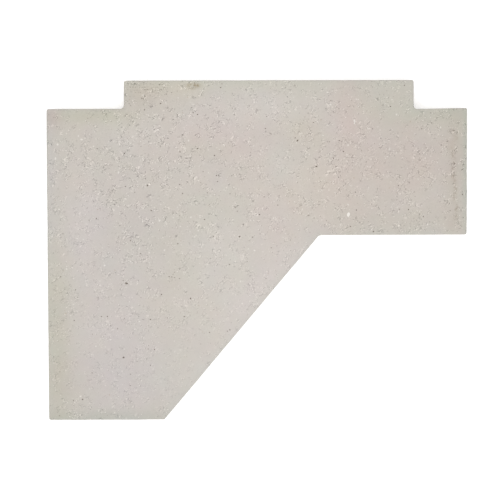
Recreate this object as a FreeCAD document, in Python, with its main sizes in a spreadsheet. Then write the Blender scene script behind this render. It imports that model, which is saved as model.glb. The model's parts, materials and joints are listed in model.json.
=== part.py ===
"""A flat refractory firebrick for the side wall of a stove's fire chamber, cast in one piece.

The brick lies on its back with the formed face up. The x axis runs along its length and the
y axis across it, from the foot to the tongue. The origin is the centre of the underside of
the brick's bounding box. All sizes are in millimetres.
"""

import FreeCAD, Part
import os

import Sketcher

# Driving sizes, each with the words that say what it measures
SIZES = [
    ("brick_length", 315, "from the butt edge to the nose, along x"),
    ("brick_thickness", 25, "from the back to the formed face, along z"),
    ("left_shoulder_width", 58, "the step beside the tongue, at the butt end"),
    ("right_shoulder_width", 40, "the step beside the tongue, at the nose end"),
    ("shoulder_drop", 21, "how far the tongue stands above its shoulders"),
    ("arm_depth", 95, "from the shoulders down to the underside of the arm"),
    ("leg_height", 139, "from the foot up to the underside of the arm"),
    ("foot_width", 87, "the flat that the leg ends in"),
    ("arm_reach", 111, "the underside of the arm, from the throat to the nose"),
    ("root_radius", 3, "the mould's rounding in the three re-entrant corners"),
    ("corner_radius", 1.5, "the rounding of the seven outer corners"),
    ("face_arris_radius", 1.2, "the rolled edge around the formed face"),
    ("back_arris_radius", 0.8, "the rolled edge around the back"),
]

# The sides of the outline in order, counter-clockwise from the heel, where foot and butt meet
SIDES = [
    "foot",
    "splay",
    "arm_underside",
    "nose",
    "right_shoulder",
    "tongue_right",
    "tongue_top",
    "tongue_left",
    "left_shoulder",
    "butt",
]
LEVEL_SIDES = ["foot", "arm_underside", "right_shoulder", "tongue_top", "left_shoulder"]
UPRIGHT_SIDES = ["nose", "tongue_right", "tongue_left", "butt"]

# A corner is named after the side that starts there: the throat and the roots of the two steps
RE_ENTRANT_CORNERS = ["arm_underside", "tongue_right", "left_shoulder"]

SAME_PLACE = 0.001
START = 1
END = 2
ORIGIN_POINT = (-1, 1)


def make_sheet(doc):
    """The spreadsheet of driving sizes, with a remark beside each."""
    sheet = doc.addObject("Spreadsheet::Sheet", "sizes")
    sheet.set("A1", "size")
    sheet.set("B1", "millimetres")
    sheet.set("C1", "what it measures")
    for row, (name, value, remark) in enumerate(SIZES, start=2):
        sheet.set(f"A{row}", name)
        sheet.set(f"B{row}", str(value))
        sheet.set(f"C{row}", remark)
        sheet.setAlias(f"B{row}", name)
    doc.recompute()
    return sheet


def origin_plane(body, role):
    """The body's own origin plane with this role."""
    for feature in body.Origin.OriginFeatures:
        if feature.Role == role:
            return feature
    raise ValueError(f"no origin plane {role}")


def outline_corners(sheet):
    """The corners of the outline, walked side by side from the heel."""
    tongue_width = sheet.brick_length - sheet.left_shoulder_width - sheet.right_shoulder_width
    butt_height = sheet.arm_depth + sheet.leg_height
    splay_width = sheet.brick_length - sheet.arm_reach - sheet.foot_width
    steps = [
        (sheet.foot_width, 0),
        (splay_width, sheet.leg_height),
        (sheet.arm_reach, 0),
        (0, sheet.arm_depth),
        (-sheet.right_shoulder_width, 0),
        (0, sheet.shoulder_drop),
        (-tongue_width, 0),
        (0, -sheet.shoulder_drop),
        (-sheet.left_shoulder_width, 0),
        (0, -butt_height),
    ]
    overall_depth = butt_height + sheet.shoulder_drop
    corner = FreeCAD.Vector(-sheet.brick_length / 2, -overall_depth / 2, 0)
    corners = []
    for along, across in steps:
        corners.append(corner)
        corner = corner + FreeCAD.Vector(along, across, 0)
    return corners


def bind_distance(sketch, kind, first, second, name, expression):
    """A named distance in the sketch, from the first point to the second, that follows an expression."""
    distance = 1
    index = sketch.addConstraint(Sketcher.Constraint(kind, *first, *second, distance))
    sketch.renameConstraint(index, name)
    sketch.setExpression(f"Constraints.{name}", expression)


def make_outline(body, sheet):
    """The sketch of the brick's outline: ten straight sides, closed, held by the driving sizes."""
    sketch = body.newObject("Sketcher::SketchObject", "outline")
    sketch.AttachmentSupport = (origin_plane(body, "XY_Plane"), [""])
    sketch.MapMode = "FlatFace"

    corners = outline_corners(sheet)
    side = {name: number for number, name in enumerate(SIDES)}
    for number, corner in enumerate(corners):
        next_corner = corners[(number + 1) % len(corners)]
        sketch.addGeometry(Part.LineSegment(corner, next_corner), False)
    for number in range(len(SIDES)):
        next_side = (number + 1) % len(SIDES)
        sketch.addConstraint(Sketcher.Constraint("Coincident", number, END, next_side, START))
    for name in LEVEL_SIDES:
        sketch.addConstraint(Sketcher.Constraint("Horizontal", side[name]))
    for name in UPRIGHT_SIDES:
        sketch.addConstraint(Sketcher.Constraint("Vertical", side[name]))

    heel = (side["foot"], START)
    toe = (side["foot"], END)
    throat = (side["arm_underside"], START)
    nose_foot = (side["nose"], START)
    nose_top = (side["nose"], END)
    right_root = (side["right_shoulder"], END)
    tongue_top_left = (side["tongue_top"], END)
    left_root = (side["left_shoulder"], START)
    butt_top = (side["left_shoulder"], END)

    # Both steps are cut to the same level
    sketch.addConstraint(Sketcher.Constraint("Horizontal", *right_root, *left_root))

    bind_distance(sketch, "DistanceX", heel, nose_foot, "brick_length", "sizes.brick_length")
    bind_distance(sketch, "DistanceX", heel, toe, "foot_width", "sizes.foot_width")
    bind_distance(sketch, "DistanceX", throat, nose_foot, "arm_reach", "sizes.arm_reach")
    bind_distance(
        sketch, "DistanceX", right_root, nose_top, "right_shoulder_width", "sizes.right_shoulder_width"
    )
    bind_distance(sketch, "DistanceX", butt_top, left_root, "left_shoulder_width", "sizes.left_shoulder_width")
    bind_distance(sketch, "DistanceY", heel, throat, "leg_height", "sizes.leg_height")
    bind_distance(sketch, "DistanceY", nose_foot, nose_top, "arm_depth", "sizes.arm_depth")
    bind_distance(sketch, "DistanceY", left_root, tongue_top_left, "shoulder_drop", "sizes.shoulder_drop")

    # The outline's bounding box is centred on the origin
    bind_distance(sketch, "DistanceX", heel, ORIGIN_POINT, "half_length", "sizes.brick_length / 2")
    bind_distance(
        sketch,
        "DistanceY",
        heel,
        ORIGIN_POINT,
        "half_depth",
        "(sizes.leg_height + sizes.arm_depth + sizes.shoulder_drop) / 2",
    )
    return sketch


def upright_edges(shape, points):
    """The names of the shape's upright edges that stand over these points of the outline."""
    names = []
    for number, edge in enumerate(shape.Edges, start=1):
        foot, top = edge.Vertexes[0].Point, edge.Vertexes[-1].Point
        is_upright = abs(foot.x - top.x) < SAME_PLACE and abs(foot.y - top.y) < SAME_PLACE
        for point in points:
            if is_upright and abs(foot.x - point.x) < SAME_PLACE and abs(foot.y - point.y) < SAME_PLACE:
                names.append(f"Edge{number}")
    return names


def level_face(shape, direction):
    """The name of the shape's flat face whose outward normal is this direction."""
    for number, face in enumerate(shape.Faces, start=1):
        if isinstance(face.Surface, Part.Plane) and face.normalAt(0, 0).getAngle(direction) < SAME_PLACE:
            return f"Face{number}"
    raise ValueError("no level face")


def add_fillet(body, name, base, parts, radius):
    """Rounds the named edges, or all edges of the named faces, of the feature before it."""
    fillet = body.newObject("PartDesign::Fillet", name)
    fillet.Base = (base, parts)
    fillet.setExpression("Radius", radius)
    body.Document.recompute()
    return fillet


def make_firebrick(doc, sheet):
    """The brick: its outline cast to the full thickness, its corners rounded, then its arrises."""
    body = doc.addObject("PartDesign::Body", "firebrick")
    body.Label = "firebrick"
    body.Placement = FreeCAD.Placement()
    sketch = make_outline(body, sheet)
    slab = body.newObject("PartDesign::Pad", "slab")
    slab.Profile = sketch
    slab.setExpression("Length", "sizes.brick_thickness")
    doc.recompute()

    re_entrant = []
    outer = []
    for number, name in enumerate(SIDES):
        corner = sketch.getPoint(number, START)
        if name in RE_ENTRANT_CORNERS:
            re_entrant.append(corner)
        else:
            outer.append(corner)
    roots = add_fillet(body, "roots", slab, upright_edges(slab.Shape, re_entrant), "sizes.root_radius")
    corners = add_fillet(body, "corners", roots, upright_edges(roots.Shape, outer), "sizes.corner_radius")

    # An arris can't be rounder than the corner that it runs around
    upward = FreeCAD.Vector(0, 0, 1)
    face_arris = add_fillet(
        body,
        "face_arris",
        corners,
        [level_face(corners.Shape, upward)],
        "min(sizes.face_arris_radius; 0.9 * sizes.corner_radius)",
    )
    back_arris = add_fillet(
        body,
        "back_arris",
        face_arris,
        [level_face(face_arris.Shape, -upward)],
        "min(sizes.back_arris_radius; 0.9 * sizes.corner_radius)",
    )
    body.Tip = back_arris
    sketch.Visibility = False
    return body


def check_document(doc):
    """Stops if any object failed to compute."""
    for item in doc.Objects:
        if "Invalid" in item.State or "Error" in item.State:
            raise RuntimeError(f"{item.Name} failed: {item.State}")


def check_solid(body):
    """Stops unless the brick is one valid solid."""
    shape = body.Shape
    if shape.isNull() or not shape.isValid() or len(shape.Solids) != 1:
        raise RuntimeError(f"{body.Label} isn't one valid solid")


def main():
    doc = FreeCAD.newDocument("firebrick_model")
    sheet = make_sheet(doc)
    firebrick = make_firebrick(doc, sheet)
    doc.recompute()
    check_document(doc)
    check_solid(firebrick)
    os.makedirs("parts", exist_ok=True)
    firebrick.Shape.exportStep(f"parts/{firebrick.Label}.step")
    box = firebrick.Shape.BoundBox
    litres = firebrick.Shape.Volume / 1e6
    print(f"{firebrick.Label}: {box.XLength:.2f} x {box.YLength:.2f} x {box.ZLength:.2f} mm, {litres:.4f} litres")


main()
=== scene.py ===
"""A flat refractory firebrick for a stove's fire chamber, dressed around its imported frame.

The brick is one casting of chamotte: a formed face, a screeded back, a mould-smooth side wall and the
two worn arrises between them. All of it is one closed skin, worked out with numpy. Shapes are worked out
in millimetres and go into the mesh in metres.
"""

import json
import logging
import math
from collections.abc import Callable
from dataclasses import dataclass, field, fields
from enum import Enum, IntEnum

import bpy
import numpy as np
from mathutils.geometry import delaunay_2d_cdt
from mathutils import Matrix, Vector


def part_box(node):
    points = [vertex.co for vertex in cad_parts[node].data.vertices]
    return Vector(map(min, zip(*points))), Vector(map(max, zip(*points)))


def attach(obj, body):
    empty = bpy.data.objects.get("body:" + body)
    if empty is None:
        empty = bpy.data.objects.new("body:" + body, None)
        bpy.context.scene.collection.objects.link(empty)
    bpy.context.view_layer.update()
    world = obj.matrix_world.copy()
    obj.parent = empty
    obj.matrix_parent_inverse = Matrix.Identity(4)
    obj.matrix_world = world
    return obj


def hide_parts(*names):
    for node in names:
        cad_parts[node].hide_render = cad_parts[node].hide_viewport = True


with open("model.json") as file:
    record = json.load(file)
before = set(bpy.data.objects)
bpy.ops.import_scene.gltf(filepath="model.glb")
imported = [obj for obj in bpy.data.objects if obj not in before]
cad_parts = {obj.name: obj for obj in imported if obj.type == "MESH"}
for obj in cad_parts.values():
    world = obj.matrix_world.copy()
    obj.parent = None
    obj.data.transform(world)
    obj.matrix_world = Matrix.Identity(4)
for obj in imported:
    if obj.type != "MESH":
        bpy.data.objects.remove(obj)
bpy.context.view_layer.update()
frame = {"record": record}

MM = 0.001
TURN = 2 * math.pi
QUARTER = math.pi / 2
NODE = "firebrick"

# The drawing's rounding of the three re-entrant corners and of the seven outer ones
ROOT_RADIUS = 3.0
CORNER_RADIUS = 1.5

# How far an outward direction has to point up or down to belong to the face or the back
FACING = 0.5

# One step of the screen's 0 to 255 scale, as a share of this paste's light
SHADE_STEP = 0.0109

log = logging.getLogger("firebrick")

Colour = tuple[float, float, float]
Place = tuple[float, float, float]
Span = tuple[float, float]

# A function that takes flat places to places in the room and their outward directions
Lift = Callable[[np.ndarray], tuple[np.ndarray, np.ndarray]]


class Draw(IntEnum):
    """The separate draws of chance, each by the number that it adds to the seed."""

    NOSE_SCUFFS = 1
    TONGUE_SCUFFS = 2
    FACE_MARKS = 3
    FACE_LOBES = 4
    BACK_MARKS = 5
    BACK_LOBES = 6
    WALL_MARKS = 7
    WALL_LOBES = 8
    CHIPS = 9
    SCRATCHES = 10
    SCRAPES = 11


# Shapes


@dataclass(frozen=True)
class Ripple:
    """Smooth unevenness of unit spread, from the shortest to the longest wave in millimetres."""

    seed: int
    shortest: float
    longest: float
    waves: int = 32

    def at(self, points: np.ndarray) -> np.ndarray:
        """Works out the ripple: the sum over the waves of cos(way . point * turn / length + phase).

        Args:
            points: places in millimetres, one row each, of any number of columns.

        Returns:
            One number a point, about 0 on average with a spread of 1.
        """
        rng = np.random.default_rng(self.seed)
        way = rng.normal(size=(self.waves, points.shape[1]))
        way /= np.linalg.norm(way, axis=1, keepdims=True)
        length = np.exp(rng.uniform(np.log(self.shortest), np.log(self.longest), self.waves))
        phase = rng.uniform(0, TURN, self.waves)
        angle = points @ (TURN * way / length[:, None]).T + phase
        return np.cos(angle).sum(axis=1) * math.sqrt(2 / self.waves)


def within(points: np.ndarray, loop: np.ndarray) -> np.ndarray:
    """Tells which points lie inside a closed loop: a ray to the right crosses it an odd number of times.

    Args:
        points: flat places, one row each.
        loop: the loop's corners in order.

    Returns:
        True for each point inside.
    """
    along = np.roll(loop, -1, axis=0) - loop
    x, y = points[:, 0, None], points[:, 1, None]
    spans = (loop[:, 1] > y) != (loop[:, 1] + along[:, 1] > y)
    rise = np.where(along[:, 1] == 0, 1, along[:, 1])
    crossing = loop[:, 0] + along[:, 0] * (y - loop[:, 1]) / rise
    return (spans & (x < crossing)).sum(axis=1) % 2 == 1


def leg_distance(points: np.ndarray, start: np.ndarray, along: np.ndarray) -> np.ndarray:
    """Works out how far points lie from straight legs: from each point to the nearest place of each leg.

    Args:
        points: flat places, one row each.
        start: where each leg starts.
        along: the way from its start to its end.

    Returns:
        The distances, points by legs.
    """
    from_start = points[:, None] - start[None]
    share = (from_start * along).sum(axis=2) / (along**2).sum(axis=1)
    nearest = start + np.clip(share, 0, 1)[..., None] * along
    return np.linalg.norm(points[:, None] - nearest, axis=2)


def route_legs(route: tuple[Span, ...]) -> tuple[np.ndarray, np.ndarray]:
    """The legs of an open route: where each starts and the way to its end."""
    corners = np.array(route, float)
    return corners[:-1], np.diff(corners, axis=0)


@dataclass(frozen=True)
class Outline:
    """The brick's outline from above: ten corners, counter-clockwise from the heel, with their rounding."""

    corners: np.ndarray
    radii: np.ndarray

    @classmethod
    def from_frame(cls, root_radius: float, corner_radius: float) -> "Outline":
        """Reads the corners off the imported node's box and the record's mounts, which are the sides' middles.

        Args:
            root_radius: the rounding of the three re-entrant corners.
            corner_radius: the rounding of the seven outer corners.

        Returns:
            The outline in millimetres.
        """
        low, high = (np.array(corner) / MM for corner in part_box(NODE))
        middle = {mount["name"]: np.array(mount["pos_m"]) / MM for mount in frame["record"]["mounts"]}
        shoulder = middle["left_shoulder"][1]
        tongue_left = 2 * middle["left_shoulder"][0] - low[0]
        tongue_right = 2 * middle["right_shoulder"][0] - high[0]
        toe = 2 * middle["foot"][0] - low[0]
        throat, underside = 2 * middle["arm_underside"][0] - high[0], middle["arm_underside"][1]
        corners = np.array(
            [
                (low[0], low[1]),
                (toe, low[1]),
                (throat, underside),
                (high[0], underside),
                (high[0], shoulder),
                (tongue_right, shoulder),
                (tongue_right, high[1]),
                (tongue_left, high[1]),
                (tongue_left, shoulder),
                (low[0], shoulder),
            ]
        )
        before = corners - np.roll(corners, 1, axis=0)
        after = np.roll(corners, -1, axis=0) - corners
        turns_left = before[:, 0] * after[:, 1] - before[:, 1] * after[:, 0] > 0
        return cls(corners, np.where(turns_left, corner_radius, root_radius))

    def depth_inside(self, points: np.ndarray) -> np.ndarray:
        """Works out how far inside the outline points lie: the way to the nearest side, below 0 outside.

        Args:
            points: flat places, one row each.

        Returns:
            One distance a point.
        """
        along = np.roll(self.corners, -1, axis=0) - self.corners
        distance = leg_distance(points, self.corners, along).min(axis=1)
        return np.where(within(points, self.corners), distance, -distance)


@dataclass(frozen=True)
class Rim:
    """The rounded outline as a closed walk: places, outward directions and the way covered so far."""

    place: np.ndarray
    outward: np.ndarray
    covered: np.ndarray
    length: float

    @classmethod
    def around(cls, outline: Outline, step: float, arc_steps: int) -> "Rim":
        """Walks the outline: straight sides cut into even steps, joined by arcs tangent to both.

        Args:
            outline: the corners and their rounding.
            step: about how far apart the places on a straight side are.
            arc_steps: how many steps each rounding takes.

        Returns:
            The walk, counter-clockwise.
        """
        corners = outline.corners
        side = np.roll(corners, -1, axis=0) - corners
        side /= np.linalg.norm(side, axis=1, keepdims=True)
        come = np.roll(side, 1, axis=0)
        turned = np.arctan2(come[:, 0] * side[:, 1] - come[:, 1] * side[:, 0], (come * side).sum(axis=1))
        setback = outline.radii * np.tan(np.abs(turned) / 2)
        begins = corners - come * setback[:, None]
        ends = corners + side * setback[:, None]
        places, outwards = [], []
        for number, radius in enumerate(outline.radii):
            bend = np.sign(turned[number]) * radius
            out = np.array((come[number, 1], -come[number, 0]))
            angle = np.linspace(0, turned[number], arc_steps + 1)
            cosine, sine = np.cos(angle), np.sin(angle)
            arc_out = np.stack([out[0] * cosine - out[1] * sine, out[0] * sine + out[1] * cosine], axis=1)
            centre = begins[number] - bend * out
            places.append(centre + bend * arc_out)
            outwards.append(arc_out)
            run = begins[(number + 1) % len(corners)] - ends[number]
            count = max(2, round(np.linalg.norm(run) / step))
            share = np.arange(1, count)[:, None] / count
            places.append(ends[number] + share * run)
            outwards.append(np.repeat(arc_out[-1:], count - 1, axis=0))
        place, outward = np.concatenate(places), np.concatenate(outwards)
        stride = np.linalg.norm(np.roll(place, -1, axis=0) - place, axis=1)
        covered = np.concatenate([[0], np.cumsum(stride)[:-1]])
        return cls(place, outward, covered, float(stride.sum()))

    def carried(self, values: np.ndarray, covered: np.ndarray) -> np.ndarray:
        """Reads values kept at the rim's places anywhere along the walk, by straight interpolation.

        Args:
            values: one number or row a place.
            covered: the ways along the walk to read at.

        Returns:
            One number or row for each of the ways.
        """
        known = np.append(self.covered, self.length)
        closed = np.concatenate([values, values[:1]])
        if closed.ndim == 1:
            return np.interp(covered, known, closed)
        return np.stack([np.interp(covered, known, column) for column in closed.T], axis=1)


# From which reach a hollow is drawn as a bubble and as a void, and how far a ring's lobes go in and out
BUBBLE_FROM = 0.36
VOID_FROM = 0.78
LOBES = (0.03, 0.18)


class Grade(Enum):
    """How finely a mark is drawn: the sides of its ring, and the inner rings as shares of its reach."""

    PINHOLE = (6, ())
    BUBBLE = (9, (0.62,))
    VOID = (16, (0.8, 0.42))
    GRAIN = (7, ())

    @property
    def sides(self) -> int:
        """The number of points in each ring."""
        return self.value[0]

    @property
    def shares(self) -> tuple[float, ...]:
        """The rings from the edge inwards, as shares of the reach."""
        return (1.0, *self.value[1])


@dataclass
class Marks:
    """Small marks in a surface's own flat coordinates: hollows where the paste is missing, and grains.

    A mark's turn is in radians and its other sizes in millimetres. A grain has a sink below 0.
    """

    place: np.ndarray
    reach: np.ndarray
    stretch: np.ndarray
    turned: np.ndarray
    sink: np.ndarray
    tone: np.ndarray

    @classmethod
    def joined(cls, sets: list["Marks"]) -> "Marks":
        """Puts several sets of marks into one, in their order."""
        return cls(*(np.concatenate([getattr(one, part.name) for one in sets]) for part in fields(cls)))

    def chosen(self, which: np.ndarray) -> "Marks":
        """The marks that a mask or a list of numbers picks."""
        return Marks(*(getattr(self, part.name)[which] for part in fields(self)))

    def clearance(self) -> np.ndarray:
        """How far from its middle each mark may come, with its lobes."""
        return self.reach * np.sqrt(self.stretch) * (1 + 2 * LOBES[1])

    def apart(self, gap: float) -> "Marks":
        """Keeps the marks, first come first served, that stay clear of the ones kept before them.

        Args:
            gap: the least paste between two marks.

        Returns:
            The marks that are kept.
        """
        room = self.clearance()
        kept = np.zeros(len(room), bool)
        for number, (spot, own) in enumerate(zip(self.place, room)):
            others = kept[:number]
            away = np.hypot(*(self.place[:number][others] - spot).T)
            kept[number] = not np.any(away < room[:number][others] + own + gap)
        return self.chosen(kept)

    def grades(self) -> list[tuple[Grade, "Marks"]]:
        """Sorts the marks by how finely they are drawn.

        Returns:
            Each grade with its marks.
        """
        hollow = self.sink > 0
        large = self.reach >= VOID_FROM
        middling = (self.reach >= BUBBLE_FROM) & ~large
        return [
            (Grade.PINHOLE, self.chosen(hollow & (self.reach < BUBBLE_FROM))),
            (Grade.BUBBLE, self.chosen(hollow & middling)),
            (Grade.VOID, self.chosen(hollow & large)),
            (Grade.GRAIN, self.chosen(~hollow)),
        ]

    def rings(self, grade: Grade, rng: np.random.Generator) -> tuple[np.ndarray, np.ndarray]:
        """Works out the rings and the middle of each mark.

        The radius at an angle is the reach times 1 plus two small lobes, and the ring is then stretched and
        turned. The depth at a share of the reach is the sink times the root of 1 minus the share squared, as
        in an ellipsoid bowl.

        Args:
            grade: how finely they are drawn.
            rng: the source of chance for the lobes.

        Returns:
            Flat places, shaped marks by points by 2, and depths, shaped marks by points.
        """
        count = len(self.reach)
        angle = TURN * np.arange(grade.sides) / grade.sides
        lobe_phase = rng.uniform(0, TURN, (2, count, 1))
        lobe_size = rng.uniform(*LOBES, (2, count, 1))
        twofold = lobe_size[0] * np.cos(2 * angle + lobe_phase[0])
        threefold = lobe_size[1] * np.cos(3 * angle + lobe_phase[1])
        radius = self.reach[:, None] * (1 + twofold + threefold)
        long_way = np.sqrt(self.stretch)[:, None]
        along = radius * np.cos(angle) * long_way
        across = radius * np.sin(angle) / long_way
        cosine, sine = np.cos(self.turned)[:, None], np.sin(self.turned)[:, None]
        edge = np.stack([along * cosine - across * sine, along * sine + across * cosine], axis=2)
        shares = np.repeat(np.array(grade.shares), grade.sides)
        offset = np.tile(edge, (1, len(grade.shares), 1)) * shares[None, :, None]
        offset = np.concatenate([offset, np.zeros((count, 1, 2))], axis=1)
        bowl = np.sqrt(1 - np.append(shares, 0) ** 2)
        return self.place[:, None] + offset, self.sink[:, None] * bowl


@dataclass(frozen=True)
class Sprinkle:
    """The recipe for one kind of mark: how many there are, where they gather, and how they look.

    The radius grows from the first reach to the second with the chance to the power of the rarity. The
    stretch is the most that a mark is longer than wide. The sink is its depth as a share of its reach, below
    0 for what stands proud. The tone is how strongly painted shade darkens a hollow, or below 0 the paleness
    of a grain. A proud mark with a tone above 0 is a tan grain. The margin is how deep inside the outline the
    marks stay, and the crowding is how strongly they gather.
    """

    count: int
    reach: Span
    rarity: float
    stretch: float
    sink: Span
    tone: Span
    seed: int = 0
    margin: float = 2.6
    crowding: float = 0.5

    def over(self, rng: np.random.Generator, place: np.ndarray) -> Marks:
        """Draws marks by chance at the places given.

        Args:
            rng: the source of chance.
            place: where the marks are.

        Returns:
            The marks.
        """
        count = len(place)
        size = self.reach[0] * (self.reach[1] / self.reach[0]) ** (rng.random(count) ** self.rarity)
        return Marks(
            place=place,
            reach=size,
            stretch=1 + (self.stretch - 1) * rng.random(count),
            turned=rng.uniform(0, TURN, count),
            sink=size * rng.uniform(*self.sink, count),
            tone=rng.uniform(*self.tone, count),
        )


# Where an even row of loose points starts, how much further on an odd one does, and how far each point
# strays, all as shares of the step, and how many points are held against the marks at a time
ROW_START, ROW_SHIFT, STRAY = 0.25, 0.5, 0.3
BATCH = 500


def jittered_grid(rng: np.random.Generator, low: Span, high: Span, step: float) -> np.ndarray:
    """Lays points in staggered rows over a rectangle, each moved a little by chance.

    Args:
        rng: the source of chance.
        low: the rectangle's lowest corner.
        high: its highest corner.
        step: about how far apart the points are.

    Returns:
        The points, one row each.
    """
    columns = max(1, round((high[0] - low[0]) / step))
    rows = max(1, round((high[1] - low[1]) / step))
    column, row = np.meshgrid(np.arange(columns), np.arange(rows))
    x = low[0] + (column + ROW_START + ROW_SHIFT * (row % 2)) * (high[0] - low[0]) / columns
    y = low[1] + (row + 0.5) * (high[1] - low[1]) / rows
    points = np.stack([x.ravel(), y.ravel()], axis=1)
    return points + rng.uniform(-STRAY, STRAY, points.shape) * step


def clear_of(points: np.ndarray, marks: Marks, gap: float) -> np.ndarray:
    """Keeps the points that lie outside every mark.

    Args:
        points: flat places.
        marks: the marks to stay clear of.
        gap: how far to stay clear.

    Returns:
        The points that are kept.
    """
    room = marks.clearance() + gap
    kept = []
    for batch in np.array_split(points, max(1, len(points) // BATCH)):
        away = np.linalg.norm(batch[:, None] - marks.place[None], axis=2)
        kept.append(batch[(away > room).all(axis=1)])
    return np.concatenate(kept)


@dataclass
class Skin:
    """The brick's surface while it is made: points with their outward directions, and triangles.

    A point's note is how deep it lies in its hollow, as a share. A triangle's notes are how strongly painted
    shade darkens the hollow and the paleness of the grain that it belongs to.
    """

    place: list[np.ndarray] = field(default_factory=list)
    outward: list[np.ndarray] = field(default_factory=list)
    sink: list[np.ndarray] = field(default_factory=list)
    depth: list[np.ndarray] = field(default_factory=list)
    triangles: list[np.ndarray] = field(default_factory=list)
    pit: list[np.ndarray] = field(default_factory=list)
    grit: list[np.ndarray] = field(default_factory=list)
    rims: list[np.ndarray] = field(default_factory=list)
    count: int = 0

    def add_points(
        self,
        place: np.ndarray,
        outward: np.ndarray,
        sink: np.ndarray | None = None,
        depth: np.ndarray | None = None,
    ) -> np.ndarray:
        """Adds points.

        Args:
            place: where they are before anything sinks them.
            outward: which way the surface faces there.
            sink: how far each is to go inwards.
            depth: how deep each lies in its hollow, from 0 to 1.

        Returns:
            Their numbers.
        """
        none = np.zeros(len(place))
        self.place.append(place)
        self.outward.append(outward)
        self.sink.append(none if sink is None else sink)
        self.depth.append(none if depth is None else depth)
        numbers = np.arange(self.count, self.count + len(place))
        self.count += len(place)
        return numbers

    def add_triangles(
        self, corners: np.ndarray, pit: np.ndarray | None = None, grit: np.ndarray | None = None
    ) -> None:
        """Adds triangles by their corners' numbers, with their notes.

        Args:
            corners: three numbers a triangle.
            pit: how strongly painted shade darkens the hollow that each lies in.
            grit: the paleness of the grain that each lies on.
        """
        none = np.zeros(len(corners))
        self.triangles.append(corners)
        self.pit.append(none if pit is None else pit)
        self.grit.append(none if grit is None else grit)

    def add_band(self, rows: list[np.ndarray]) -> None:
        """Joins closed rows of points into a band of triangles.

        Args:
            rows: the rows' numbers, each row below or outside the one before.
        """
        for upper, lower in zip(rows, rows[1:]):
            upper_next, lower_next = np.roll(upper, -1), np.roll(lower, -1)
            self.add_triangles(np.stack([lower, lower_next, upper_next], axis=1))
            self.add_triangles(np.stack([lower, upper_next, upper], axis=1))


# A point of a sheet that belongs to no mark, and how far the loose points stay from every mark
NOBODY = -1
GRID_GAP = 0.25


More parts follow.
